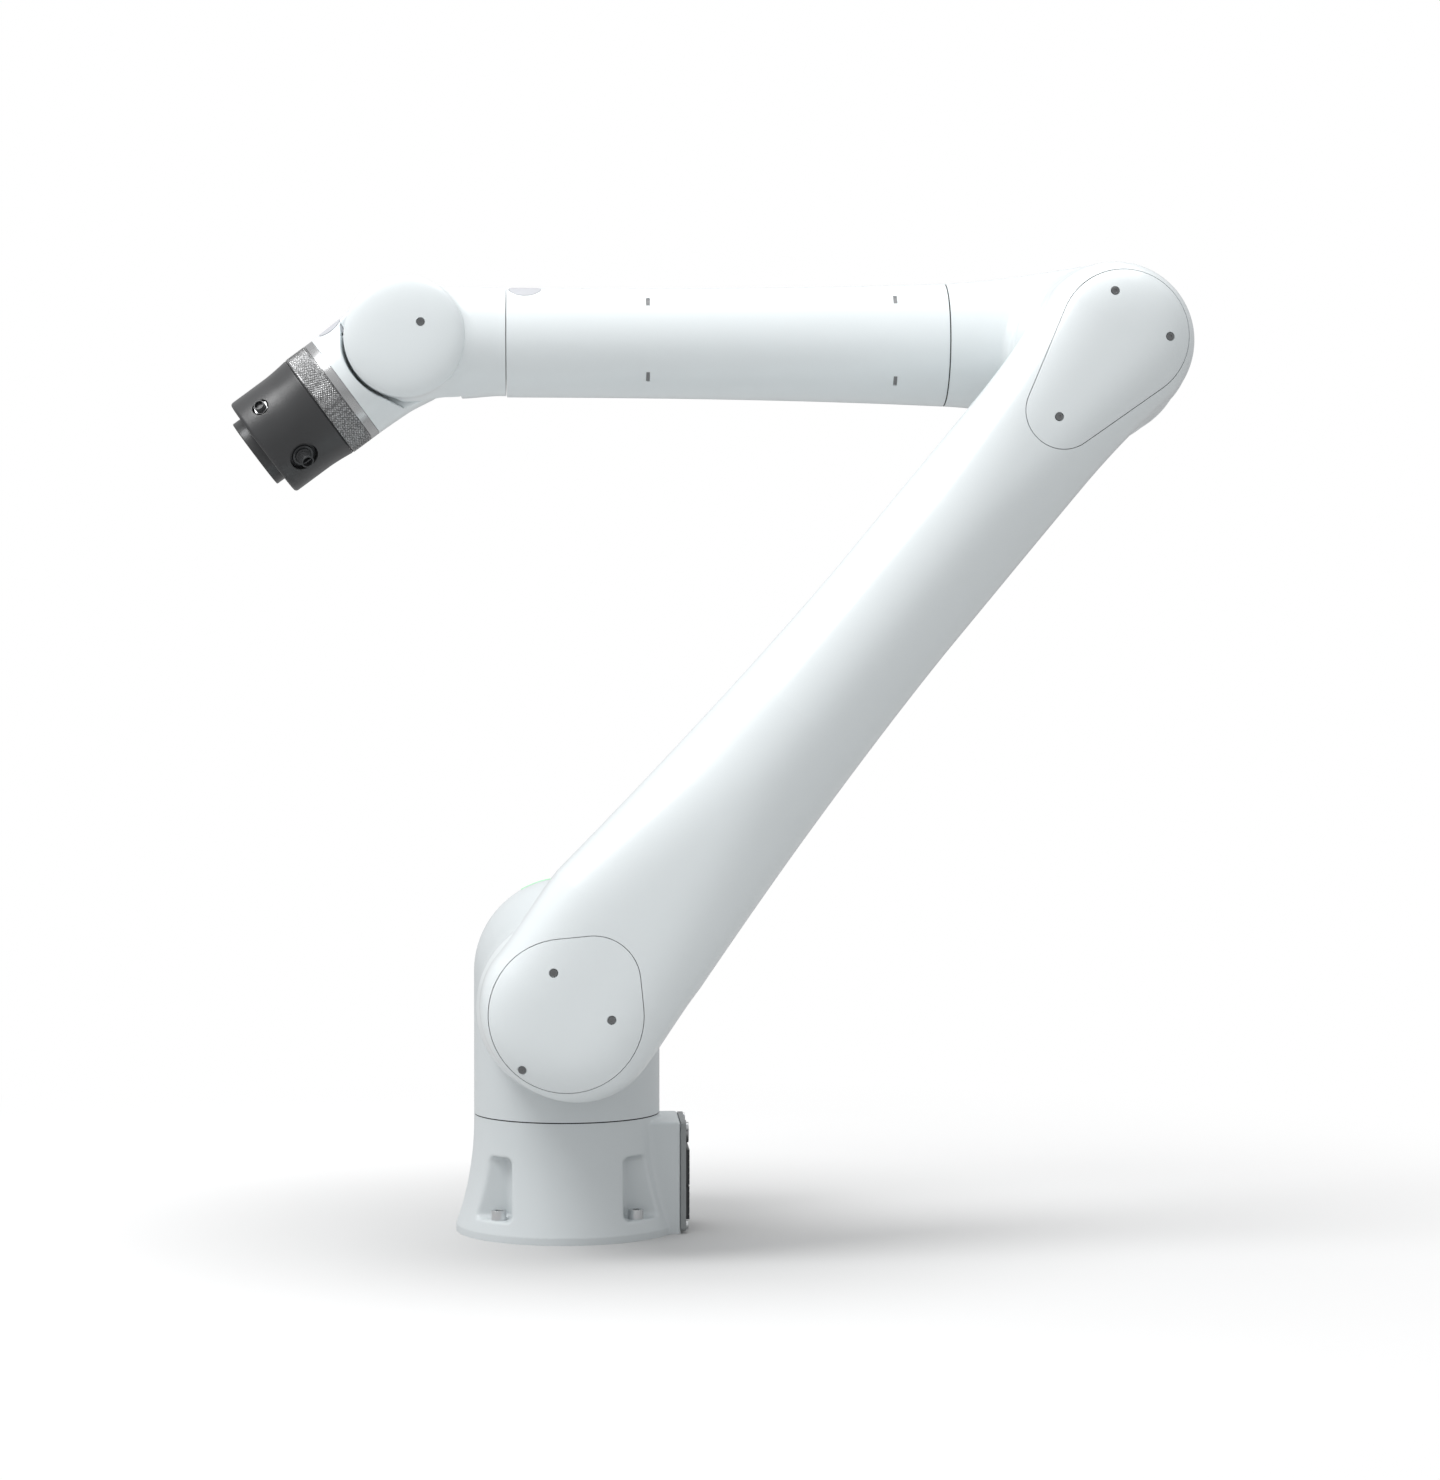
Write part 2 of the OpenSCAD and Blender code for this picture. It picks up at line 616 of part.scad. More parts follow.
// Hand-guiding button: a round grey key that is pressed into the neck
module guide_button() color("darkgray") along_tool() intersection() {
    button_place() translate([0, 0, -4]) difference() {
        cylinder(r = 11, h = 12);
        translate([0, 0, -1]) cylinder(r = 8, h = 4);
    }
    rotate_extrude() polygon(concat([[0, 30]],
        [for (t = [30:4:62]) [neck_radius(t) + 0.45, t]], [[0, 62]]));
}

// ---------------------------------------------------------------- tool

housing_t0 = tool_seam + seam / 2;
housing_len = housing_t1 - housing_t0;

// Radius of the housing at distance t from the wrist axis: a short taper, then straight
housing_taper = 23;
function housing_radius(t) = collar_r - 2.2 + 1.9 * pow(max(1 - (t - housing_t0) / housing_taper, 0), 1.5);

// Places of the two connectors: distance along the tool, and angle from its upper side to the front
sensor_at = [133.5, -57];
gripper_at = [129, -131];

module on_housing(place) translate([0, 0, place[0]]) rotate(place[1])
    translate([housing_radius(place[0]), 0, 0]) rotate([0, 90, 0]) children();

module tool_housing() color("#262628") along_tool() difference() {
    rotate_extrude() polygon(concat([[0, housing_t0], [housing_radius(housing_t0) - 1, housing_t0]],
        [for (t = [1:5.5:housing_taper]) [housing_radius(housing_t0 + t), housing_t0 + t]],
        arc(housing_radius(housing_t1) - 3, housing_t1 - 3, 3, 0, 90), [[0, housing_t1]]));
    translate([0, 0, housing_t0 + 6]) cylinder(r = 37, h = housing_len - 12);
    translate([0, 0, housing_t0 - 1]) cylinder(r = 17 + slack, h = 12);
    translate([0, 0, housing_t1 - 10]) cylinder(r = 22, h = 20);
    flange_screw_places() translate([0, 0, -12]) cylinder(r = 1.6, h = 20);
    on_housing(sensor_at) translate([0, 0, -4.5]) cylinder(r = 7.5, h = 20);
    on_housing(sensor_at) translate([0, 0, -12]) cylinder(r = 5, h = 20);
    on_housing(gripper_at) translate([0, 0, -7]) cylinder(r = 12.5, h = 20);
    on_housing(gripper_at) translate([0, 0, -12]) cylinder(r = 7, h = 20);
}

module flange_holes(r, h) for (a = [45:90:315]) rotate(a) translate([flange_pcd / 2, 0, 0]) cylinder(r = r, h = h);

module tool_flange() color("gray") along_tool() difference() {
    union() {
        translate([0, 0, housing_t1]) cylinder(r = flange_r, h = tool_len - housing_t1);
        translate([0, 0, housing_t1 - 6]) cylinder(r = 22 - slack, h = 7);
    }
    translate([0, 0, tool_len - 6.5]) cylinder(r = register_r, h = 10);
    translate([0, 0, housing_t1]) flange_holes(2.5, 20);
    translate([flange_pcd / 2, 0, housing_t1]) cylinder(r = 3, h = 20);
    flange_screw_places() {
        translate([0, 0, -10]) cylinder(r = 1.7, h = 20);
        cylinder(r = 2.7, h = 10);
    }
}

// The flange's own four screws sit between its threaded holes, sunk in its face
flange_screw_level = tool_len - 3.4;
module flange_screw_places() for (a = [22.5:90:292.5]) rotate(a)
    translate([flange_pcd / 2, 0, flange_screw_level]) children();

module flange_screws() color("silver") along_tool() flange_screw_places() socket_screw(3, 9);

module tool_hub() color("silver") along_tool() translate([0, 0, tool_seam]) difference() {
    hub(17, 24, 6, 33);
    for (a = [0:45:315]) rotate(a) translate([26, 0, 5]) cylinder(r = 1.7, h = 10);
}

// Small round connector, recessed in the housing
module sensor_collar() color("silver") along_tool() on_housing(sensor_at) translate([0, 0, -4.5]) difference() {
    union() {
        cylinder(r = 7.2, h = 1.2);
        cylinder(r = 4.9, h = 5.5);
        translate([0, 0, -6]) cylinder(r = 4.7, h = 7);
    }
    translate([0, 0, 1.5]) cylinder(r = 3.9, h = 10);
}
module sensor_plug_pins() color("gold") along_tool() on_housing(sensor_at) translate([0, 0, -3]) union() {
    cylinder(r = 0.6, h = 3);
    for (a = [0:72:288]) rotate(a) translate([2.3, 0, 0]) cylinder(r = 0.5, h = 3);
}

// Larger connector: a threaded barrel that stands in a wide recess and leans along the tool
module gripper_collar() color("#1b1b1d") along_tool() on_housing(gripper_at) translate([0, 0, -7])
    difference() {
        cylinder(r = 12.2, h = 2.4);
        translate([0, 0, -1]) cylinder(r = 6.9, h = 6);
        for (a = [0:90:270]) rotate(a + 45) translate([9.5, 0, 1.2]) cylinder(r = 1.2, h = 4);
    }
module gripper_socket() color("#1b1b1d") along_tool() on_housing(gripper_at) translate([0, 0, -11])
    difference() {
        union() {
            cylinder(r = 6.6, h = 9);
            cylinder(r = 5.2, h = 20);
            for (z = [11:2:17]) translate([0, 0, z]) cylinder(r = 5.7, h = 1);
        }
        translate([0, 0, 13]) cylinder(r = 4, h = 10);
    }

// ---------------------------------------------------------------- assembly

foot_casting();
connector_panel();
panel_screws();
network_socket();
control_socket();
power_socket();
mounting_screws();
foot_drive();
foot_seal();
turret_casting();
turret_back_cover();
turret_cover_screws();
status_light();
turret_hub();
shoulder_drive();
shoulder_seal();
arm_casting();
shoulder_cover();
shoulder_cover_screws();
shoulder_gasket();
elbow_cover();
elbow_cover_screws();
elbow_gasket();
arm_hub();
elbow_drive();
elbow_seal();
elbow_casting();
elbow_back_cover();
elbow_back_screws();
elbow_hub();
forearm_drive();
forearm_seal();
forearm_tube();
forearm_clips();
forearm_pad();
forearm_hub();
wrist_fork();
fork_cap();
fork_cap_screw();
wrist_drive();
wrist_seal();
wrist_casting();
wrist_hub();
trim_ring();
grip_ring();
tool_drive();
tool_seal();
guide_button();
tool_housing();
tool_flange();
flange_screws();
tool_hub();
sensor_collar();
sensor_plug_pins();
gripper_collar();
gripper_socket();
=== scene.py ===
"""Looks of the six-axis robot arm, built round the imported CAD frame.

The painted castings are made here as smooth blended skins: each is a distance field, meshed on a grid, with
its points moved onto the field's surface and its normals taken from the field. Seams are plane cuts, and the
covers are cut from the same field. Round parts are turned from their profiles. Lengths are in millimetres,
and every mesh is scaled to metres when it is made.
"""

import json
import math

import bmesh
import bpy
import numpy as np
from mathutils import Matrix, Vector


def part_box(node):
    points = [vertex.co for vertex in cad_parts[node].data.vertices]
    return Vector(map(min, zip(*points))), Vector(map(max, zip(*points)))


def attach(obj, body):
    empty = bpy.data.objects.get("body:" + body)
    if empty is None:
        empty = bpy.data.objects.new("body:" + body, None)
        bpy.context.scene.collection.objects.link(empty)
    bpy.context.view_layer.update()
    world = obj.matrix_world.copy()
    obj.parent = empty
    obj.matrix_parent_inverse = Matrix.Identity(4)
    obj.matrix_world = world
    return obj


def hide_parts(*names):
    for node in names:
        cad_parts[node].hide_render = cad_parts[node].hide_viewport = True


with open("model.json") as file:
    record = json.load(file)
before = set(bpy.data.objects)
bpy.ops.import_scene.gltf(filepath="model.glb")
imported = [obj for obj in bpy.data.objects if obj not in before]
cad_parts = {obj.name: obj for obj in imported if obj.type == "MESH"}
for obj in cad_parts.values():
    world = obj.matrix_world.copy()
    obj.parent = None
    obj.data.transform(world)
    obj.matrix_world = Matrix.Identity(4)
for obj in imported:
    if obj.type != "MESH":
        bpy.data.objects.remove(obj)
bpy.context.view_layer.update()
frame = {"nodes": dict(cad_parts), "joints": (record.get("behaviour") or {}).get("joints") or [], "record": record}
scene = bpy.context.scene
MM = 0.001

# ---------------------------------------------------------------- places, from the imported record

JOINTS = {j["name"]: j for j in frame["joints"]}


def joint_mm(name):
    """A joint's place, in millimetres."""
    return np.array(JOINTS[name]["pos_m"]) / MM


def box_mm(*nodes):
    """Lowest and highest corner of some CAD nodes, in millimetres."""
    boxes = np.array([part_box(n) for n in nodes]) / MM
    return boxes[:, 0].min(0), boxes[:, 1].max(0)


class Place:
    """A frame: an origin in millimetres, and the directions of its z and x."""

    def __init__(self, origin, z, x):
        self.origin = np.array(origin, float)
        z, x = np.array(z, float), np.array(x, float)
        z /= np.linalg.norm(z)
        x = x - z * (x @ z)
        x /= np.linalg.norm(x)
        self.rows = np.stack([x, np.cross(z, x), z])

    def local(self, p):
        return (np.asarray(p) - self.origin) @ self.rows.T

    def world(self, q):
        return self.origin + np.asarray(q) @ self.rows

    def moved(self, x=0, y=0, z=0, turn=0):
        """The same frame moved within itself, then turned about its z, in degrees."""
        a = math.radians(turn)
        turned_x = self.rows[0] * math.cos(a) + self.rows[1] * math.sin(a)
        return Place(self.world([x, y, z]), self.rows[2], turned_x)


SHOULDER, ELBOW, WRIST = (joint_mm(n) for n in ("shoulder_swing", "elbow_swing", "wrist_bend"))
TOOL_DIR = np.array(JOINTS["tool_roll"]["axis"])
FRONT, BACK, UP, RIGHT = ([0, -1, 0], [0, 1, 0], [0, 0, 1], [1, 0, 0])
ARM_LEN = float(np.linalg.norm(ELBOW - SHOULDER))

# AT_ places and ALONG_ARM have z to the front. ALONG_FOREARM and ALONG_TOOL have z along the link
WORLD = Place([0, 0, 0], UP, RIGHT)
AT_SHOULDER = Place(SHOULDER * [1, 0, 1], FRONT, RIGHT)
ALONG_ARM = Place(SHOULDER * [1, 0, 1], FRONT, ELBOW - SHOULDER)
AT_ELBOW = Place(ELBOW * [1, 0, 1], FRONT, RIGHT)
ALONG_FOREARM = Place([ELBOW[0], 0, WRIST[2]], [-1, 0, 0], UP)
AT_WRIST = Place(WRIST * [1, 0, 1], FRONT, RIGHT)
ALONG_TOOL = Place(WRIST * [1, 0, 1], TOOL_DIR, UP)

# Seams: their width, the first one's height, the side ones' distances to the front of the mid plane, and the
# rolling ones' distances along the forearm and the tool
SEAM = 1.0
TURN_SEAM = joint_mm("base_turn")[2]
SIDE_SEAM, WRIST_SEAM = -SHOULDER[1], -WRIST[1]
ROLL_SEAM = ELBOW[0] - joint_mm("forearm_roll")[0]
TOOL_SEAM = float(np.linalg.norm((joint_mm("tool_roll") - WRIST) * [1, 0, 1]))

# ---------------------------------------------------------------- distance fields


def blend(a, b, k):
    """Union of two fields with a fillet about k wide."""
    h = np.clip(0.5 + 0.5 * (b - a) / k, 0, 1)
    return b + (a - b) * h - k * h * (1 - h)


def carve(a, b, k):
    """Field a with b taken away, its edges rounded by about k."""
    return -blend(-a, b, k)


def soft_and(a, b, k):
    """Where both fields are inside, with the edge between them rounded."""
    return -blend(-a, -b, k)


def smooth(s):
    """Soft step from 0 to 1."""
    s = np.clip(s, 0, 1)
    return s * s * (3 - 2 * s)


def drum(u, v, w, r, w0, w1, round0=0.5, round1=0.5):
    """Cylinder of radius r along w, from w0 to w1, with its two rims rounded."""
    mid, half = (w0 + w1) / 2, (w1 - w0) / 2
    rim = np.where(w < mid, round0, round1)
    side = np.hypot(u, v) - r + rim
    end = np.abs(w - mid) - half + rim
    return np.minimum(np.maximum(side, end), 0) + np.hypot(np.maximum(side, 0), np.maximum(end, 0)) - rim


def block(p, lo, hi, edge):
    """Box from lo to hi with rounded edges."""
    lo, hi = np.array(lo, float), np.array(hi, float)
    q = np.abs(p - (lo + hi) / 2) - (hi - lo) / 2 + edge
    return np.minimum(q.max(-1), 0) + np.linalg.norm(np.maximum(q, 0), axis=-1) - edge


def gradient(field, p, e=0.05):
    """Slope of a field at points p."""
    steps = np.eye(3) * e
    return np.stack([field(p + s) - field(p - s) for s in steps], -1) / (2 * e)


# ---------------------------------------------------------------- meshing


def surface_net(field, lo, hi, step):
    """Vertices and quads of the surface where the field is zero, on a grid between two corners."""
    axes = [np.arange(a, b + step, step) for a, b in zip(lo, hi)]
    grid = np.stack(np.meshgrid(*axes, indexing="ij"), -1)
    f = np.concatenate([field(part) for part in np.array_split(grid, max(1, len(axes[0]) // 12))])
    inside = f < 0
    shape = np.array(f.shape) - 1
    corners = [(i, j, k) for i in (0, 1) for j in (0, 1) for k in (0, 1)]
    window = lambda a, c: a[c[0]:shape[0] + c[0], c[1]:shape[1] + c[1], c[2]:shape[2] + c[2]]
    count = sum(window(inside, c).astype(np.int8) for c in corners)
    cells = np.argwhere((count > 0) & (count < 8))
    index = np.full(shape, -1, np.int64)
    index[tuple(cells.T)] = np.arange(len(cells))
    total, n = np.zeros((len(cells), 3)), np.zeros(len(cells))
    for a in corners:
        for axis in range(3):
            if a[axis]:
                continue
            b = tuple(a[i] + (i == axis) for i in range(3))
            fa, fb = f[tuple((cells + a).T)], f[tuple((cells + b).T)]
            crossing = (fa < 0) != (fb < 0)
            share = np.where(crossing, fa / np.where(crossing, fa - fb, 1), 0)
            point = np.array(a, float) + np.outer(share, np.array(b) - np.array(a))
            total += point * crossing[:, None]
            n += crossing
    points = np.array(lo) + (cells + total / n[:, None]) * step
    quads = []
    for axis in range(3):
        u, v = [i for i in range(3) if i != axis]
        here = [slice(0, -1)] * 3
        there = list(here)
        there[axis] = slice(1, None)
        for i in (u, v):
            here[i] = there[i] = slice(1, -1)
        a, b = inside[tuple(here)], inside[tuple(there)]
        edge = np.argwhere(a != b)
        flip = a[tuple(edge.T)] == (axis != 1)
        edge[:, [u, v]] += 1
        ring = []
        for du, dv in ((-1, -1), (0, -1), (0, 0), (-1, 0)):
            c = edge.copy()
            c[:, u] += du
            c[:, v] += dv
            ring.append(index[tuple(c.T)])
        ring = np.stack(ring, -1)
        ring[~flip] = ring[~flip][:, ::-1]
        quads.append(ring)
    return points, np.concatenate(quads)


def relax(points, quads, turns=2):
    """Points moved to the middle of their neighbours, so that they are evenly spread."""
    for _ in range(turns):
        total, n = np.zeros_like(points), np.zeros(len(points))
        for i in range(4):
            for a, b in ((i, (i + 1) % 4), ((i + 1) % 4, i)):
                np.add.at(total, quads[:, a], points[quads[:, b]])
                np.add.at(n, quads[:, a], 1)
        points = total / n[:, None]
    return points


def settle(field, points, turns=4):
    """Points moved onto the surface of the field."""
    for _ in range(turns):
        g = gradient(field, points)
        points = points - g * (field(points) / np.maximum((g * g).sum(-1), 1e-6))[:, None]
    return points


def new_object(name, points, faces):
    """Mesh object from points in millimetres."""
    mesh = bpy.data.meshes.new(name)
    mesh.from_pydata((np.asarray(points) * MM).tolist(), [], [list(map(int, f)) for f in faces])
    mesh.validate()
    o = bpy.data.objects.new(name, mesh)
    scene.collection.objects.link(o)
    return o


def slice_off(o, point, normal):
    """Cuts away what lies past a plane, in millimetres, and closes the cut."""
    bm = bmesh.new()
    bm.from_mesh(o.data)
    found = bmesh.ops.bisect_plane(
        bm, geom=bm.verts[:] + bm.edges[:] + bm.faces[:], dist=1e-5,
        plane_co=Vector(np.array(point, float) * MM), plane_no=Vector(normal), clear_outer=True)
    rim = [g for g in found["geom_cut"] if isinstance(g, bmesh.types.BMEdge)]
    if rim:
        bmesh.ops.contextual_create(bm, geom=rim)
    bm.to_mesh(o.data)
    bm.free()


def join_meshes(o, *others):
    """Adds the meshes of other objects to an object's own, and deletes the others."""
    bm = bmesh.new()
    for each in (o, *others):
        bm.from_mesh(each.data)
    bm.to_mesh(o.data)
    bm.free()
    for each in others:
        bpy.data.objects.remove(each)


def apply_boolean(o, tool, operation):
    """Changes a mesh by a tool's volume, and deletes the tool."""
    m = o.modifiers.new("cut", "BOOLEAN")
    m.object, m.operation, m.solver = tool, operation, "EXACT"
    depsgraph = bpy.context.evaluated_depsgraph_get()
    o.data = bpy.data.meshes.new_from_object(o.evaluated_get(depsgraph))
    o.modifiers.clear()
    bpy.data.objects.remove(tool)


def drill(o, *cutters):
    """Takes the cutters' volumes out of a mesh, and deletes them. The cutters don't touch each other."""
    join_meshes(*cutters)
    apply_boolean(o, cutters[0], "DIFFERENCE")
    return o


def face_outwards(o):
    """Welds points in the same place, and turns every face outwards."""
    bm = bmesh.new()
    bm.from_mesh(o.data)
    bmesh.ops.remove_doubles(bm, verts=bm.verts, dist=1e-7)
    bmesh.ops.recalc_face_normals(bm, faces=bm.faces)
    bm.to_mesh(o.data)
    bm.free()


def mesh_points(mesh):
    """A mesh's points, in millimetres."""
    co = np.zeros(len(mesh.vertices) * 3)
    mesh.vertices.foreach_get("co", co)
    return co.reshape(-1, 3) / MM


def shade(o, field=None, crease=35):
    """Smooth shading: flat cuts stay flat, and a skin takes its normals from its field."""
    mesh = o.data
    mesh.polygons.foreach_set("use_smooth", np.ones(len(mesh.polygons), bool))
    if field is None:
        mesh.set_sharp_from_angle(angle=math.radians(crease))
        return o
    co = mesh_points(mesh)
    g = gradient(field, co)
    g /= np.maximum(np.linalg.norm(g, axis=-1), 1e-9)[:, None]
    flat = np.zeros(len(mesh.polygons) * 3)
    mesh.polygons.foreach_get("normal", flat)
    sizes = np.zeros(len(mesh.polygons), int)
    mesh.polygons.foreach_get("loop_total", sizes)
    verts = np.zeros(len(mesh.loops), int)
    mesh.loops.foreach_get("vertex_index", verts)
    face = np.repeat(np.arange(len(sizes)), sizes)
    want, have = g[verts], flat.reshape(-1, 3)[face]
    on_skin = ((want * have).sum(-1) > math.cos(math.radians(crease))) & (np.abs(field(co))[verts] < 0.3)
    mesh.normals_split_custom_set(np.where(on_skin[:, None], want, have).tolist())
    return o


def skin(name, field, place, lo, hi, step, cuts=(), cutters=(), within=None):
    """A skin: the surface of a field given in a place's own frame, sliced at its seams and cut by solids."""
    points, quads = surface_net(field, lo, hi, step)
    o = new_object(name, place.world(settle(field, relax(points, quads))), quads)
    for point, normal in cuts:
        slice_off(o, point, normal)
    if within:
        apply_boolean(o, within, "INTERSECT")
    if cutters:
        drill(o, *cutters)
    return shade(o, lambda p: field(place.local(p)), crease=60)


# ---------------------------------------------------------------- turned and cut parts


def circle(r, n=96, turn=0.0):
    a = math.radians(turn) + np.arange(n) * 2 * math.pi / n
    return np.stack([r * np.cos(a), r * np.sin(a)], -1)


def prism(outline, place, z0, z1):
    """Straight solid on a closed outline, from z0 to z1."""
    n = len(outline)
    points = np.array([[x, y, z] for z in (z0, z1) for x, y in outline])
    faces = [list(range(n))[::-1], list(range(n, 2 * n))]
    faces += [[i, (i + 1) % n, n + (i + 1) % n, n + i] for i in range(n)]
    return new_object("cutter", place.world(points), faces)


def rod(place, r, z0, z1, n=96):
    return prism(circle(r, n), place, z0, z1)


def rounded(outline, radius=0.6, steps=5):
    """Closed profile of (radius, z), its corners rounded. A third number gives a corner its own rounding."""
    made = []
    n = len(outline)
    for i, p in enumerate(outline):
        here = np.array(p[:2], float)
        turn = p[2] if len(p) > 2 else radius
        if here[0] < 1e-6 or turn == 0:
            made.append(here)
            continue
        before, after = (np.array(outline[j][:2], float) - here for j in ((i - 1) % n, (i + 1) % n))
        la, lb = np.linalg.norm(before), np.linalg.norm(after)
        cosine = float(np.clip(before @ after / (la * lb), -0.999, 0.999))
        d = min(turn / math.tan(math.acos(cosine) / 2), 0.48 * la, 0.48 * lb)
        a, b = here + before / la * d, here + after / lb * d
        made += [(1 - t) ** 2 * a + 2 * t * (1 - t) * here + t * t * b for t in np.linspace(0, 1, steps + 1)]
    return np.array(made)


def ring_faces(rings, n):
    """Quads between rings of n points, the last ring joined to the first."""
    return [[i * n + j, i * n + (j + 1) % n, ((i + 1) % rings) * n + (j + 1) % n, ((i + 1) % rings) * n + j]
            for i in range(rings) for j in range(n)]


def turned(name, place, profile, n=160):
    """Solid turned from a profile of (radius, z) about a place's z."""
    c = circle(1, n)
    points = np.concatenate([np.column_stack([c * r, np.full(n, z)]) for r, z in profile])
    o = new_object(name, place.world(points), ring_faces(len(profile), n))
    face_outwards(o)
    return o


def repeated(name, made, first, places):
    """One object holding a made object's mesh at each of several places; it was made at the first."""
    mesh = made.data
    local = first.local(mesh_points(mesh))
    polys = [list(p.vertices) for p in mesh.polygons]
    points = np.concatenate([p.world(local) for p in places])
    faces = [[v + i * len(local) for v in f] for i in range(len(places)) for f in polys]
    bpy.data.objects.remove(made)
    return shade(new_object(name, points, faces), crease=30)


COVER_SCREW = dict(r=3.1, h=2, key=1.6, shank=1.9)
SCREW_SINK = 2.6                         # depth of a cover screw's seat


def head_screws(name, places, r, h, key, shank):
    """Socket-head screws with their heads' undersides at the places; r, key and shank are radii."""
    at = places[0]
    head = rounded([(0, 0), (r, 0, 0.1), (r, h, 0.35), (key + 0.5, h, 0), (0, h, 0)], 0.1)
    made = turned("screw", at, head, 48)
    drill(made, prism(circle(key, 6), at, h * 0.45, h + 1))
    thread = turned("shank", at, np.array([(0, 0.2), (shank, 0.2), (shank, -6), (0, -6)]), 24)
    join_meshes(made, thread)
    return repeated(name, made, at, places)


pieces = []


def piece(o, body, slot, *nodes):
    """Registers a made piece: the body it rides on, its material slot, and the CAD nodes it stands for."""
    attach(o, body)
    if nodes:
        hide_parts(*nodes)
    pieces.append((o, slot))
    return o


# ---------------------------------------------------------------- foot

FOOT_TOP, TURRET_FOOT = TURN_SEAM - SEAM / 2, TURN_SEAM + SEAM / 2
COLUMN_R = 80.0
FOOT_R = 95.5
BOX_TOP = 96                             # top of the connector box
NOTCH_IN, NOTCH_FLOOR, NOTCH_TOP = 47, 16.5, 69
panel_lo, panel_hi = box_mm("connector_panel")


def foot_field(p):
    x, y, z = p[..., 0], p[..., 1], p[..., 2]
    down = np.clip((FOOT_TOP - z) / FOOT_TOP, 0, 1)
    flare = (np.hypot(x, y) - np.minimum(FOOT_R, COLUMN_R + 17.5 * down ** 2.2)) * 0.96
    box = block(p, [30, panel_lo[1], -20], [panel_lo[0], panel_hi[1], BOX_TOP], 3)
    corner = np.stack([np.abs(x), np.abs(y), z], -1)
    notch = block(corner, [NOTCH_IN, NOTCH_IN, NOTCH_FLOOR], [160, 160, NOTCH_TOP], 5)
    return carve(blend(flare, box, 3), notch, 2.5)


piece(skin("foot_skin", foot_field, WORLD, [-100, -100, -6], [102, 100, 106], 1.5,
           cuts=[((0, 0, 0), (0, 0, -1)), ((0, 0, FOOT_TOP), (0, 0, 1))],
           cutters=[rod(WORLD, 40, 36, 110)]),
      "foot", "light_grey_paint", "foot_casting")

# ---------------------------------------------------------------- turret

DOME_Z = 223.0
TURRET_BACK = 84.0
BOSS_R, BACK_R = 76.5, 58.0
LIGHT_HALF_ANGLE = 30                    # how far the status light runs each way from the dome's top


def turret_field(p):
    x, y, z = p[..., 0], p[..., 1], p[..., 2]
    column = np.sqrt(x ** 2 + y ** 2 + np.maximum(z - DOME_Z, 0) ** 2) - COLUMN_R
    u, v, w = np.moveaxis(AT_SHOULDER.local(p), -1, 0)
    front = drum(u, v, w, BOSS_R, -20, SIDE_SEAM + 20)
    back = drum(u, v, w, BACK_R, -TURRET_BACK - 20, 20)
    return blend(blend(column, front, 4), back, 12)


light = AT_SHOULDER.moved(y=DOME_Z - SHOULDER[2])
arc = np.radians(np.linspace(90 - LIGHT_HALF_ANGLE, 90 + LIGHT_HALF_ANGLE, 41))
groove = np.concatenate([np.stack([r * np.cos(a), r * np.sin(a)], -1)
                         for r, a in ((COLUMN_R + 4, arc), (COLUMN_R - 2.6, arc[::-1]))])
turret_cuts = [((0, 0, TURRET_FOOT), (0, 0, -1)),
               ((0, SEAM / 2 - SIDE_SEAM, 0), FRONT),
               ((0, TURRET_BACK, 0), BACK)]
piece(skin("turret_skin", turret_field, WORLD, [-86, -96, 95], [86, 94, 310], 1.8, cuts=turret_cuts,
           cutters=[rod(AT_SHOULDER, 37, 16, 95), prism(groove, light, -6.3, -0.3)]),
      "turret", "light_grey_paint", "turret_casting")


def back_cover(name, at, r, t, edge, screw_r, body, slot, node, screws):
    """Round cover of thickness t on the back of a link, held by three sunk screws."""
    out = Place(at.origin, BACK, RIGHT)
    profile = rounded([(0, 0), (r, 0, 0.3), (r, t - 0.6, edge), (r - 8, t, 6), (0, t)])
    cover = turned(name, out, profile, 192)
    spots = [out.moved(turn=a).moved(x=screw_r, z=t - SCREW_SINK) for a in (-90, 30, 150)]
    drill(cover, *[rod(s, 3.6, 0, 5, 48) for s in spots])
    piece(shade(cover), body, slot, node)
    piece(head_screws(screws + "_heads", spots, **COVER_SCREW), body, "dark_steel", screws)


back_cover("turret_back_skin", AT_SHOULDER.moved(z=-TURRET_BACK), 57.5, 6, 3, 50,
           "turret", "light_grey_paint", "turret_back_cover", "turret_cover_screws")

# ---------------------------------------------------------------- upper arm

SHOULDER_R, ELBOW_R, WAIST_R = 76.5, 69.0, 57.0
ARM_MID = 150.0                          # the arm's axis, in front of the mid plane
ARM_INNER = SIDE_SEAM + SEAM / 2
SHOULDER_FRONT, ELBOW_FRONT = -box_mm("shoulder_cover")[0][1], -box_mm("elbow_cover")[0][1]


def arm_radius(t):
    """Half width of the tube: it narrows to a waist and widens a little again at the elbow."""
    s = np.clip(t / ARM_LEN, 0, 1)
    low = WAIST_R + 26.3 * np.maximum(1 - s / 0.606, 0) ** 1.6
    high = WAIST_R + (ELBOW_R - WAIST_R - 3.5) * np.maximum((s - 0.845) / 0.155, 0) ** 2
    return np.where(s < 0.7, np.minimum(low, SHOULDER_R - 1), high)


def arm_lift(t):
    """How far the tube's own middle runs above the line between the two axes."""
    return (6.2 - 0.0072 * t) * smooth(t / 90)


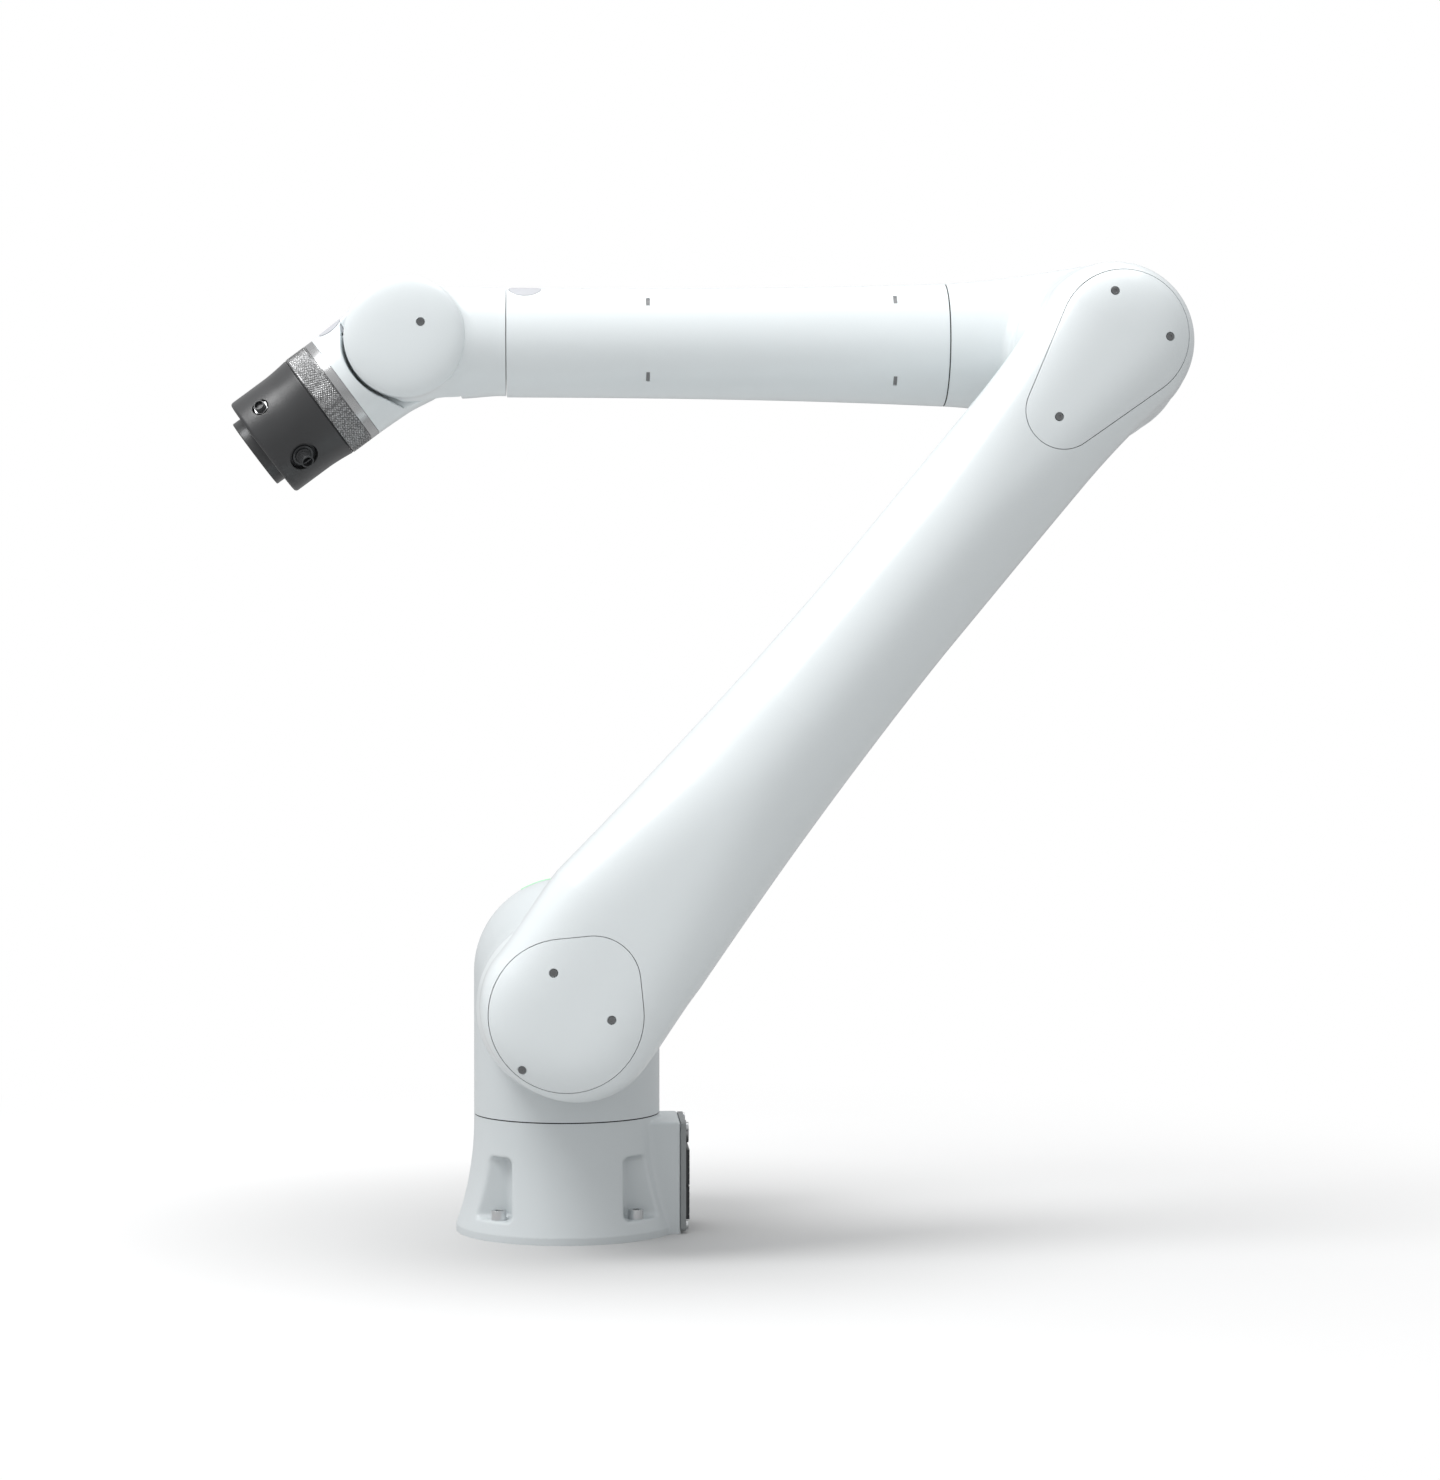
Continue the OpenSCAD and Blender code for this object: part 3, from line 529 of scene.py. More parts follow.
def arm_field(q):
    """A tube whose front half grows squarer towards both ends, blended into a tapered drum at each axis."""
    t, h, w = q[..., 0], q[..., 1], q[..., 2]
    past = np.maximum(np.maximum(-1.12 * t, t - ARM_LEN), 0)
    a = arm_radius(t)
    front = ELBOW_FRONT + (SHOULDER_FRONT - ELBOW_FRONT) * np.clip(1 - t / ARM_LEN, 0, 1)
    b_front = np.minimum(a, front - ARM_MID)
    b_back = np.minimum(a, ARM_MID - ARM_INNER + 6)
    b = np.where(w > ARM_MID, b_front, b_back)
    squareness = 2 + 1.8 * smooth(1 - t / 260) + smooth((t - ARM_LEN + 200) / 200)
    n = np.where(w > ARM_MID, squareness, 2)
    across = np.hypot(h - arm_lift(t), past) / a
    deep = np.abs(w - ARM_MID) / b
    tube = ((across ** n + deep ** n) ** (1 / n) - 1) * b_front
    depth = np.maximum(w - ARM_INNER, 0)
    low = drum(t, h, w, SHOULDER_R - 0.16 * depth, 40, 172, 1, 30)
    high = drum(t - ARM_LEN, h, w, ELBOW_R + 3 - 0.14 * depth, 40, 165, 1, 30)
    return blend(blend(tube, low, 5), high, 12)


def lobe(a, ra, b, rb, n=48):
    """Outline round two circles on the x axis, joined by their tangents."""
    lean = math.acos((ra - rb) / (b - a))
    big = np.linspace(lean, 2 * math.pi - lean, n)
    small = np.linspace(-lean, lean, n // 2)
    return np.concatenate([np.stack([c + r * np.cos(s), r * np.sin(s)], -1)
                           for c, r, s in ((a, ra, big), (b, rb, small))])


def shoulder_outline(grow=0.0):
    return lobe(0, 62.8 + grow, 35, 38 + grow) + [1, 3.5]


def elbow_outline(grow=0.0):
    o = lobe(-4, 53.5 + grow, 78, 31 + grow)
    return np.stack([ARM_LEN - o[:, 0], -o[:, 1]], -1)


def arm_level(x, y):
    """Level of the arm's front skin at a place seen from the front."""
    w = np.linspace(ARM_MID, SHOULDER_FRONT + 5, 600)
    return float(w[arm_field(np.stack([w * 0 + x, w * 0 + y, w], -1)) < 0].max())


SKIN_TOP = SHOULDER_FRONT + 6            # level past the foremost skin, where the grids end
COVER_SEAT, PAST_FRONT = 166, 240        # levels of the covers' seats, and well in front of the arm
ARM_BOX = [-82, -82, ARM_INNER - 8], [ARM_LEN + 76, 82, SKIN_TOP]
piece(skin("arm_skin", arm_field, ALONG_ARM, *ARM_BOX, 2.2, cuts=[((0, -ARM_INNER, 0), BACK)],
           cutters=[prism(shoulder_outline(), ALONG_ARM, COVER_SEAT, PAST_FRONT),
                    prism(elbow_outline(), ALONG_ARM, COVER_SEAT, PAST_FRONT),
                    rod(ALONG_ARM.moved(x=ARM_LEN), 35, 70, 153)]),
      "upper_arm", "white_paint", "arm_casting")

COVER_GAP = 0.5


def arm_cover(end_name, outline, spots):
    """Cover flush with the arm's front skin, with sunk screws and a seal ring under its edge."""
    edge = outline()
    lo, hi = edge.min(0) - 4, edge.max(0) + 4
    sunk = [ALONG_ARM.moved(x=x, y=y, z=arm_level(x, y) - SCREW_SINK) for x, y in spots]
    name = end_name + "_cover"
    piece(skin(name + "_skin", arm_field, ALONG_ARM, [lo[0], lo[1], 158], [hi[0], hi[1], SKIN_TOP], 1.6,
               within=prism(outline(-COVER_GAP), ALONG_ARM, COVER_SEAT + 6, PAST_FRONT),
               cutters=[rod(s, 3.7, 0, 20, 48) for s in sunk]),
          "upper_arm", "white_paint", name)
    screws = head_screws(name + "_screws_heads", sunk, **COVER_SCREW)
    piece(screws, "upper_arm", "dark_steel", name + "_screws")
    seal_ring = prism(outline(-3), ALONG_ARM, COVER_SEAT - 1, COVER_SEAT + 2)
    drill(seal_ring, prism(outline(-6), ALONG_ARM, COVER_SEAT - 6, COVER_SEAT + 4))
    seal_ring.name = name + "_seal"
    piece(shade(seal_ring), "upper_arm", "seal_rubber", end_name + "_gasket")


arm_cover("shoulder", shoulder_outline, [(22, 33.5), (22, -26.5), (-55, 3.5)])
arm_cover("elbow", elbow_outline, [(ARM_LEN + 24.5, 29), (ARM_LEN + 24.5, -29), (ARM_LEN - 84, 0)])

# ---------------------------------------------------------------- elbow link

ELBOW_BACK = 70.0


def root_radius(s):
    """Radius of the arm of the link, from the drum's axis out to the roll seam."""
    return 52.9 + 16 * np.clip(1 - s / ROLL_SEAM, 0, 1) ** 1.4


def elbow_field(p):
    u, v, w = np.moveaxis(AT_ELBOW.local(p), -1, 0)
    x, y, s = np.moveaxis(ALONG_FOREARM.local(p), -1, 0)
    root = np.sqrt(x ** 2 + y ** 2 + np.minimum(s, 0) ** 2) - root_radius(s)
    drum_radius = 75.5 - 2.5 * smooth(w / 80)
    return blend(drum(u, v, w, drum_radius, -ELBOW_BACK, SIDE_SEAM - SEAM / 2, 22, 6.5), root, 8)


link_end = ELBOW[0] - ROLL_SEAM + SEAM / 2
piece(skin("elbow_skin", elbow_field, WORLD, [link_end - 8, -SIDE_SEAM - 4, 664], [532, 78, 840], 1.8,
           cuts=[((link_end, 0, 0), (-1, 0, 0))],
           cutters=[rod(ALONG_FOREARM, 25, ROLL_SEAM - 52, ROLL_SEAM + 5)]),
      "elbow_link", "white_paint", "elbow_casting")
back_cover("elbow_back_skin", AT_ELBOW.moved(z=-ELBOW_BACK), 52, 5, 3, 44,
           "elbow_link", "white_paint", "elbow_back_cover", "elbow_back_screws")

# ---------------------------------------------------------------- forearm

FORK_SEAM = ELBOW[0] - box_mm("forearm_tube")[0][0]
FOREARM_R = 46.8
FOREARM_START = ROLL_SEAM + SEAM / 2
CLIP_ANGLES, CLIP_LEVELS = (-133, -47), (168, 379.5)
PAD_R = 14


def tube_radius(s):
    """Radius of the forearm, widest at the elbow link."""
    return FOREARM_R + 6.1 * ((FORK_SEAM - s) / (FORK_SEAM - ROLL_SEAM)) ** 2.6


def rectangle(x0, x1, y):
    """Outline from x0 to x1, and as far each side of the x axis as y."""
    return [(x0, -y), (x1, -y), (x1, y), (x0, y)]


outer = [(tube_radius(s), s, 0) for s in np.linspace(FOREARM_START + 1, FORK_SEAM - 1, 60)]
near_end = [(30, FOREARM_START), (tube_radius(FOREARM_START), FOREARM_START, 0.5)]
far_end = [(FOREARM_R, FORK_SEAM, 0.5), (30, FORK_SEAM)]
forearm = turned("forearm_skin", ALONG_FOREARM, rounded(near_end + outer + far_end), 256)
slots = [ALONG_FOREARM.moved(z=s, turn=a).moved(x=tube_radius(s) - 0.6)
         for s in CLIP_LEVELS for a in CLIP_ANGLES]
cutters = [prism(rectangle(-1.2, 4, 4.9), c, -1.6, 1.6) for c in slots]
clip = prism(rectangle(-0.9, -0.3, 4.6), slots[0], -1.4, 1.4)
piece(repeated("forearm_clip_faces", clip, slots[0], slots), "forearm", "clip_grey", "forearm_clips")
pad = ALONG_FOREARM.moved(z=FORK_SEAM - 15.5, turn=-20)
pad = Place(pad.world([FOREARM_R - 3.2, 0, 0]), pad.rows[0], pad.rows[2])
drill(forearm, *cutters, rod(pad, PAD_R, 0, 12))
piece(shade(forearm, crease=25), "forearm", "white_paint", "forearm_tube")

# ---------------------------------------------------------------- wrist fork

WRIST_R = 51.5
DRUM_FRONT = 44.0
FORK_PLATE = FORK_SEAM + 0.8
FOREARM_LEN = ELBOW[0] - WRIST[0]
BEHIND_U, BEHIND_R = 47, 54              # where the fork starts behind the wrist's seam, from the wrist's axis


def fork_field(q):
    """A drum in front of the wrist's seam, on a cone that swells a little below as it nears the drum."""
    u, v, w = q[..., 0], q[..., 1], q[..., 2]
    s = FOREARM_LEN - u
    near = smooth((s - FORK_PLATE - 5) / 45)
    round_part = np.hypot(v + 3 * near, w) - FOREARM_R - 3.9 * near
    flat_part = -v - FOREARM_R - 1.8 * near - 0.087 * w
    cone = np.maximum(soft_and(round_part, flat_part, 4), s - FOREARM_LEN)
    arm = blend(drum(u, v, w, WRIST_R, 0, DRUM_FRONT, 1, 0.6), cone, 10)
    behind = np.maximum(BEHIND_U - u, BEHIND_R - np.hypot(u, v))
    return soft_and(arm, np.minimum(WRIST_SEAM + SEAM / 2 - w, behind), 1.5)


piece(skin("fork_skin", fork_field, AT_WRIST, [-58, -58, -52], [FOREARM_LEN - FORK_PLATE + 6, 58, 52], 1.4,
           cuts=[((ELBOW[0] - FORK_PLATE, 0, 0), RIGHT)],
           cutters=[rod(AT_WRIST, 20, 10, 41)]),
      "forearm", "white_paint", "wrist_fork")

cap_foot, cap_top = DRUM_FRONT + 0.5, -box_mm("fork_cap")[0][1]
cap_rim = cap_foot + 1.5
dome = [(WRIST_R * math.sin(a) ** 0.8, cap_rim + (cap_top - cap_rim) * math.cos(a) ** 0.72, 0)
        for a in np.radians(np.linspace(90, 0, 40))]
cap = turned("cap_skin", AT_WRIST, rounded([(0, cap_foot), (WRIST_R, cap_foot, 0.4)] + dome), 256)
cap_x, cap_y = 14, 11                    # the cap's screw, right of and above the wrist's axis
inwards = dome[::-1]
cap_level = float(np.interp(math.hypot(cap_x, cap_y), [d[0] for d in inwards], [d[1] for d in inwards]))
cap_spot = AT_WRIST.moved(x=cap_x, y=cap_y, z=cap_level - SCREW_SINK)
piece(shade(drill(cap, rod(cap_spot, 3.7, 0, 9, 48))), "forearm", "white_paint", "fork_cap")
piece(head_screws("cap_screw_head", [cap_spot], **COVER_SCREW), "forearm", "dark_steel", "fork_cap_screw")

# ---------------------------------------------------------------- wrist link

NECK_END = float(np.dot(np.array(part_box("trim_ring")).mean(0) / MM - WRIST * [1, 0, 1], TOOL_DIR)) - 4
COLLAR_R = 48.5
WRIST_GAP, SWING_ROOM = 1.6, 5.2         # the fork's clearance, and what is added where the fork swings past


def wrist_field(p):
    """A drum with a neck along the tool, cut away where the fork is or comes when the wrist bends."""
    u, v, w = np.moveaxis(AT_WRIST.local(p), -1, 0)
    x, y, t = np.moveaxis(ALONG_TOOL.local(p), -1, 0)
    neck = COLLAR_R + 3 * np.clip(1 - t / NECK_END, 0, 1) ** 1.5
    neck = np.sqrt(x ** 2 + y ** 2 + np.minimum(t, 0) ** 2) - neck
    body = blend(drum(u, v, w, WRIST_R - 0.5, -47, WRIST_SEAM + 20, 16, 1), neck, 10)
    past = np.maximum(w - WRIST_SEAM + SEAM / 2, 0)
    reach = np.hypot(u, v)
    room = SWING_ROOM * smooth((0.86 - t / np.maximum(reach, 1)) / 0.32)
    fork = np.maximum(reach - WRIST_R - WRIST_GAP - room - past * 0.05, WRIST_SEAM - SEAM / 2 - w)
    return carve(body, fork, 2)


button = ALONG_TOOL.moved(z=46, turn=-15)
button = Place(button.world([COLLAR_R - 4, 0, 0]), button.rows[0], button.rows[2])
centre = WRIST * [1, 0, 1]
piece(skin("wrist_skin", wrist_field, WORLD, list(centre + [-92, -56, -92]), list(centre + [58, 56, 62]), 1.5,
           cuts=[(ALONG_TOOL.world([0, 0, NECK_END]), TOOL_DIR)],
           cutters=[rod(button, 11.35, -6, 12)]),
      "wrist", "white_paint", "wrist_casting")

# ---------------------------------------------------------------- rings and tool


def tool_level(node, side):
    """Where a CAD node round the tool's axis starts (-1) or ends (1), along the tool."""
    t = ALONG_TOOL.local(mesh_points(frame["nodes"][node].data))[:, 2]
    return float(t.max() if side > 0 else t.min())


SLEEVE_R = 44.0
ring0, ring1 = tool_level("trim_ring", -1), tool_level("trim_ring", 1)
grip0, grip1 = tool_level("grip_ring", -1), tool_level("grip_ring", 1)
house0, house1 = tool_level("tool_housing", -1), tool_level("tool_housing", 1)
flange1 = tool_level("tool_flange", 1)
FLANGE_R = 31.5



def washer(name, r0, r1, z0, z1):
    """Plain ring about the tool's axis, its corners sharp."""
    return turned(name, ALONG_TOOL, np.array([(r0, z0), (r1, z0), (r1, z1), (r0, z1)]))


sleeve = washer("sleeve_skin", SLEEVE_R - 4, SLEEVE_R, NECK_END - 0.1, TOOL_SEAM - 0.5)
piece(shade(sleeve), "wrist", "ring_aluminium")
trim_profile = [(SLEEVE_R + 0.1, ring0), (COLLAR_R, ring0, 0.5),
                (COLLAR_R, ring1, 0.5), (SLEEVE_R + 0.1, ring1)]
trim = turned("trim_skin", ALONG_TOOL, rounded(trim_profile), 256)
piece(shade(trim), "wrist", "ring_aluminium", "trim_ring")


def knurled(name, r, z0, z1, around=126, rows=9, depth=0.45, fine=6):
    """Ring with a diamond pattern of fine raised points between two plain rims."""
    n = around * fine
    z = np.linspace(z0 + 1, z1 - 1, rows * fine + 1)
    a = np.arange(n) * 2 * math.pi / n
    wave = np.cos(around * a)[None, :] * np.cos(np.pi * rows * (z - z[0]) / (z[-1] - z[0]) * 2)[:, None]
    edge = np.clip(np.minimum(z - z[0], z[-1] - z) / 0.6, 0, 1)[:, None]
    knurl = r - depth + depth * wave * edge
    rim = [(SLEEVE_R + 0.1, z0), (r - 0.4, z0), (r, z0 + 0.35), (r, z0 + 0.8)]
    rim_radii = [np.full(n, rim_r) for rim_r, _ in rim]
    radii = np.concatenate([rim_radii, knurl, rim_radii[::-1]])
    levels = [t for _, t in rim] + list(z) + [z1 - (t - z0) for _, t in rim[::-1]]
    points = np.concatenate([np.column_stack([radius * np.cos(a), radius * np.sin(a), np.full(n, t)])
                             for radius, t in zip(radii, levels)])
    o = new_object(name, ALONG_TOOL.world(points), ring_faces(len(levels), n))
    face_outwards(o)
    return o


piece(shade(knurled("grip_skin", COLLAR_R + 0.2, grip0, grip1), crease=60), "wrist", "grip_grey", "grip_ring")


HOUSING_R = COLLAR_R - 2.2


def housing_radius(t):
    """Radius of the tool housing, widest beside the grip ring."""
    return HOUSING_R + 1.9 * max(1 - (t - house0) / 23, 0) ** 1.5


def on_housing(t, angle):
    """Frame on the housing's skin, its z pointing outwards and its x along the tool."""
    a = ALONG_TOOL.moved(z=t, turn=angle)
    return Place(a.world([housing_radius(t), 0, 0]), a.rows[0], a.rows[2])


seal = washer("tool_seal_skin", 41, 47.9, grip1 + 0.05, house0 - 0.1)
piece(shade(seal), "wrist", "seal_rubber", "tool_seal")

SENSOR, GRIPPER = on_housing(133.5, -57), on_housing(129, -131)
side = [(housing_radius(t), t, 0) for t in np.linspace(house0 + 1.2, house0 + 24, 16)]
housing_profile = ([(0, house0), (housing_radius(house0), house0, 0.8)] + side
                   + [(HOUSING_R, house1, 3.2), (0, house1)])
housing = turned("housing_skin", ALONG_TOOL, rounded(housing_profile), 256)
drill(housing, rod(SENSOR, 7.5, -4.5, 6, 64), rod(GRIPPER, 12.5, -7, 6, 96),
      rod(ALONG_TOOL, 22, house1 - 10, house1 + 3))
piece(shade(housing), "tool", "anodised_black", "tool_housing")

SPIGOT_R, REGISTER_R, REGISTER_DEPTH = 21.7, 15.75, 6.5
HOLE_CIRCLE_R = 25                       # the standard flange's holes and dowel hole
register_floor = flange1 - REGISTER_DEPTH
flange_profile = [(0, house1 - 6), (SPIGOT_R, house1 - 6), (SPIGOT_R, house1, 0), (FLANGE_R, house1, 0),
                  (FLANGE_R, flange1, 0.9), (REGISTER_R, flange1, 0.6), (REGISTER_R, register_floor, 0),
                  (0, register_floor)]
flange = turned("flange_skin", ALONG_TOOL, rounded(flange_profile), 192)
at_holes = [ALONG_TOOL.moved(turn=a).moved(x=HOLE_CIRCLE_R) for a in (45, 135, 225, 315)]
at_holes.append(ALONG_TOOL.moved(x=HOLE_CIRCLE_R))
at_screws = [ALONG_TOOL.moved(turn=a).moved(x=HOLE_CIRCLE_R, z=flange1 - 3.4)
             for a in (22.5, 112.5, 202.5, 292.5)]
holes = [rod(h, 3, house1 + 1, flange1 + 3, 40) for h in at_holes]
drill(flange, *holes, *[rod(s, 2.8, 0, 8, 40) for s in at_screws])
piece(shade(flange), "tool", "flange_metal", "tool_flange")
piece(head_screws("flange_screw_heads", at_screws, 2.45, 3, 1.3, 1.5), "tool", "dark_steel", "flange_screws")


def threaded(r, z0, z1, pitch=1.25, depth=0.45):
    """Profile of a threaded barrel between two levels."""
    made = []
    for z in np.arange(z0, z1 - pitch / 2, pitch):
        made += [(r, z + 0.1, 0), (r, z + pitch * 0.4, 0)]
        made += [(r - depth, z + pitch * 0.6, 0), (r - depth, z + pitch * 0.9, 0)]
    return made


# Small connector: a hexagonal nut in its recess, and a threaded barrel
nut = prism(circle(6.9, 6, turn=15), SENSOR, -4.4, -0.9)
bevel = nut.modifiers.new("bevel", "BEVEL")
bevel.width, bevel.segments = 0.4 * MM, 3
nut.name = "sensor_nut"
piece(shade(nut), "tool", "connector_metal", "sensor_collar")
barrel_profile = ([(0, -4.4), (4.9, -4.4)] + threaded(4.9, -1.2, 3)
                  + [(4.6, 3.5, 0.2), (3.7, 3.5, 0.2), (3.7, 0.5, 0), (0, 0.5)])
barrel = turned("sensor_barrel", SENSOR, rounded(barrel_profile, 0.1), 72)
piece(shade(barrel), "tool", "connector_black", "sensor_plug_pins")

# Larger connector: a stepped collar in a wide recess, and a long threaded barrel with a key across its end
collar_profile = [(6.9, -6.9), (12.2, -6.9, 0.2), (12.2, -4.9, 0.6), (9.6, -4.4, 0.3), (9.2, -2.4, 0.6),
                  (6.9, -2.4, 0.3)]
collar = turned("gripper_flange", GRIPPER, rounded(collar_profile, 0.2), 96)
piece(shade(collar), "tool", "connector_black", "gripper_collar")
plug_profile = ([(0, -10), (6.6, -10), (6.6, -1.8, 0.4)] + threaded(5.7, -1.4, 7.6)
                + [(5.5, 8.2, 0.3), (5.4, 9, 0.5), (4.2, 9, 0.3), (4.2, 4.6, 0), (0, 4.6)])
plug = turned("gripper_barrel", GRIPPER, rounded(plug_profile, 0.1), 96)
piece(shade(plug), "tool", "connector_black", "gripper_socket")
key = prism(rectangle(-3.6, 3.6, 0.5), GRIPPER, 4.5, 8)
key.name = "gripper_key"
piece(shade(key), "tool", "connector_black")


# ---------------------------------------------------------------- materials


def nodes_of(owner):
    owner.use_nodes = True
    tree = owner.node_tree
    return tree, tree.nodes, tree.links


def finish_of(name, colour, rough, metal=0.0, coat=0.0, shift=0.05, rough_shift=0.05, grain=900.0, bump=0.05,
              edge=0.35, stretch=(1, 1, 1), specular=0.5, glow=0.0, glint_dot_scale=0.0):
    """A procedural finish: tinted patches, uneven roughness, fine grain, softened edges, and if asked, painted
    glints: bright dots in a field of painted shade.
    """
    m = bpy.data.materials.new(name)
    tree, nodes, links = nodes_of(m)
    shader = nodes["Principled BSDF"]
    shader.inputs["Metallic"].default_value = metal
    shader.inputs["Coat Weight"].default_value = coat
    shader.inputs["Coat Roughness"].default_value = 0.06
    shader.inputs["Specular IOR Level"].default_value = specular
    where = nodes.new("ShaderNodeTexCoord")
    mapping = nodes.new("ShaderNodeMapping")
    mapping.inputs["Scale"].default_value = stretch
    links.new(where.outputs["Object"], mapping.inputs["Vector"])

    def noise(scale, detail=3.0):
        n = nodes.new("ShaderNodeTexNoise")
        n.inputs["Scale"].default_value = scale
        n.inputs["Detail"].default_value = detail
        links.new(mapping.outputs["Vector"], n.inputs["Vector"])
        return n.outputs["Fac"]

    def ramp(value, low, high, a, b):
        r = nodes.new("ShaderNodeValToRGB")
        r.color_ramp.elements[0].position, r.color_ramp.elements[1].position = low, high
        r.color_ramp.elements[0].color = (*a, 1)
        r.color_ramp.elements[1].color = (*b, 1)
        links.new(value, r.inputs["Fac"])
        return r.outputs["Color"]

    colour = np.array(colour)
    tint = ramp(noise(14), 0.3, 0.7, colour * (1 - shift), np.minimum(colour * (1 + shift * 0.5), 1))
    # Painted glints: the colour is darkened between fine random dots, standing in for the light and shade on a
    # knurl
    if glint_dot_scale:
        cell, painted_glints = nodes.new("ShaderNodeTexVoronoi"), nodes.new("ShaderNodeVectorMath")
        cell.inputs["Scale"].default_value = glint_dot_scale
        cell.inputs["Randomness"].default_value = 0.4
        links.new(mapping.outputs["Vector"], cell.inputs["Vector"])
        painted_glints.operation = "MULTIPLY"
        links.new(tint, painted_glints.inputs[0])
        links.new(ramp(cell.outputs["Distance"], 0.15, 0.6, (1, 1, 1), (0.3, 0.3, 0.3)), painted_glints.inputs[1])
        tint = painted_glints.outputs["Vector"]
    links.new(tint, shader.inputs["Base Color"])
    rub = ramp(noise(46, 6), 0.35, 0.75, [rough - rough_shift] * 3, [rough + rough_shift] * 3)
    links.new(rub, shader.inputs["Roughness"])
    soft = nodes.new("ShaderNodeBevel")
    soft.samples = 4
    soft.inputs["Radius"].default_value = edge * MM
    relief = nodes.new("ShaderNodeBump")
    relief.inputs["Strength"].default_value = bump
    relief.inputs["Distance"].default_value = 0.2 * MM
    links.new(noise(grain, 2), relief.inputs["Height"])
    links.new(soft.outputs["Normal"], relief.inputs["Normal"])
    links.new(relief.outputs["Normal"], shader.inputs["Normal"])
    if glow:
        shader.inputs["Emission Color"].default_value = (*colour, 1)
        shader.inputs["Emission Strength"].default_value = glow
    return m


FINISHES = {
    "white_paint": dict(colour=(0.82, 0.87, 0.885), rough=0.3, coat=0.3,
                        shift=0.005, rough_shift=0.015, bump=0.02),
    "light_grey_paint": dict(colour=(0.66, 0.70, 0.715), rough=0.42, coat=0.1,
                             shift=0.008, rough_shift=0.03, bump=0.05),
    "panel_grey": dict(colour=(0.30, 0.315, 0.32), rough=0.5, shift=0.06, grain=1600, bump=0.25),
    "zinc_steel": dict(colour=(0.68, 0.69, 0.70), rough=0.3, metal=1, shift=0.08, grain=700, bump=0.08),
    "dark_steel": dict(colour=(0.22, 0.225, 0.23), rough=0.32, metal=1,
                       shift=0.1, grain=1200, bump=0.1, edge=0.2),
    "connector_metal": dict(colour=(0.4, 0.405, 0.41), rough=0.3, metal=1,
                            shift=0.08, grain=1500, bump=0.05, edge=0.15),
    "connector_black": dict(colour=(0.04, 0.042, 0.045), rough=0.36,
                            shift=0.15, grain=1800, bump=0.12, edge=0.2),
    "contact_brass": dict(colour=(0.72, 0.52, 0.22), rough=0.25, metal=1, shift=0.06, edge=0.1),
    "drive_steel": dict(colour=(0.35, 0.36, 0.38), rough=0.4, metal=1, shift=0.08, bump=0.15),
    "hub_steel": dict(colour=(0.55, 0.56, 0.57), rough=0.3, metal=1, shift=0.08, bump=0.1),
    "seal_rubber": dict(colour=(0.02, 0.02, 0.022), rough=0.7, shift=0.2, grain=2200, bump=0.3),
    "light_lens": dict(colour=(0.42, 0.80, 0.50), rough=0.35, shift=0.05, bump=0.05, glow=0.35),
    "clip_grey": dict(colour=(0.24, 0.245, 0.25), rough=0.5, shift=0.08, bump=0.1, edge=0.15),
    "pad_grey": dict(colour=(0.50, 0.51, 0.54), rough=0.45, shift=0.03, grain=1500, bump=0.12, edge=0.2),
    "ring_aluminium": dict(colour=(0.50, 0.505, 0.51), rough=0.26, metal=1,
                           shift=0.05, grain=500, bump=0.06, edge=0.25),
    # The grip's dot pattern is painted glints and painted shade for its knurl
    "grip_grey": dict(colour=(0.56, 0.565, 0.57), rough=0.3, metal=1,
                      shift=0.08, grain=2500, bump=0.1, edge=0.1, glint_dot_scale=560),
    "anodised_black": dict(colour=(0.035, 0.036, 0.038), rough=0.38,
                           shift=0.12, grain=2400, bump=0.14, specular=0.6),
    "flange_metal": dict(colour=(0.07, 0.071, 0.073), rough=0.34, metal=0.6,
                         shift=0.08, grain=1400, bump=0.1),
}
made = {name: finish_of(name, **values) for name, values in FINISHES.items()}
for o, slot in pieces:
    o.data.materials.clear()
    o.data.materials.append(made[slot])
for part in frame["record"]["subparts"]:
    o = frame["nodes"][part["node"]]
    o.data.materials.clear()
    o.data.materials.append(made[part["material_slot"]])

# ---------------------------------------------------------------- floor, light and camera

floor_corners = [[-9000, -5000, 0], [9000, -5000, 0], [9000, 14000, 0], [-9000, 14000, 0]]
floor = new_object("floor", floor_corners, [[0, 1, 2, 3]])
# The camera sees a sheet, darker near the foot by painted shade, that fades to pure white. Bounced light meets mid
# grey instead
paint = bpy.data.materials.new("floor_white")
tree, nodes, links = nodes_of(paint)
nodes.remove(nodes["Principled BSDF"])
seen, felt = (nodes.new("ShaderNodeBsdfDiffuse") for _ in range(2))
either, ray = nodes.new("ShaderNodeMixShader"), nodes.new("ShaderNodeLightPath")
felt.inputs["Color"].default_value = (0.5, 0.5, 0.5, 1)
links.new(ray.outputs["Is Camera Ray"], either.inputs["Fac"])
links.new(felt.outputs["BSDF"], either.inputs[1])
glow, fade = nodes.new("ShaderNodeEmission"), nodes.new("ShaderNodeMixShader")
where, reach, far = (nodes.new("ShaderNode" + n) for n in ("TexCoord", "VectorMath", "MapRange"))
reach.operation = "LENGTH"
far.interpolation_type = "SMOOTHSTEP"
far.inputs["From Min"].default_value, far.inputs["From Max"].default_value = 0.5, 1.15
links.new(where.outputs["Object"], reach.inputs[0])
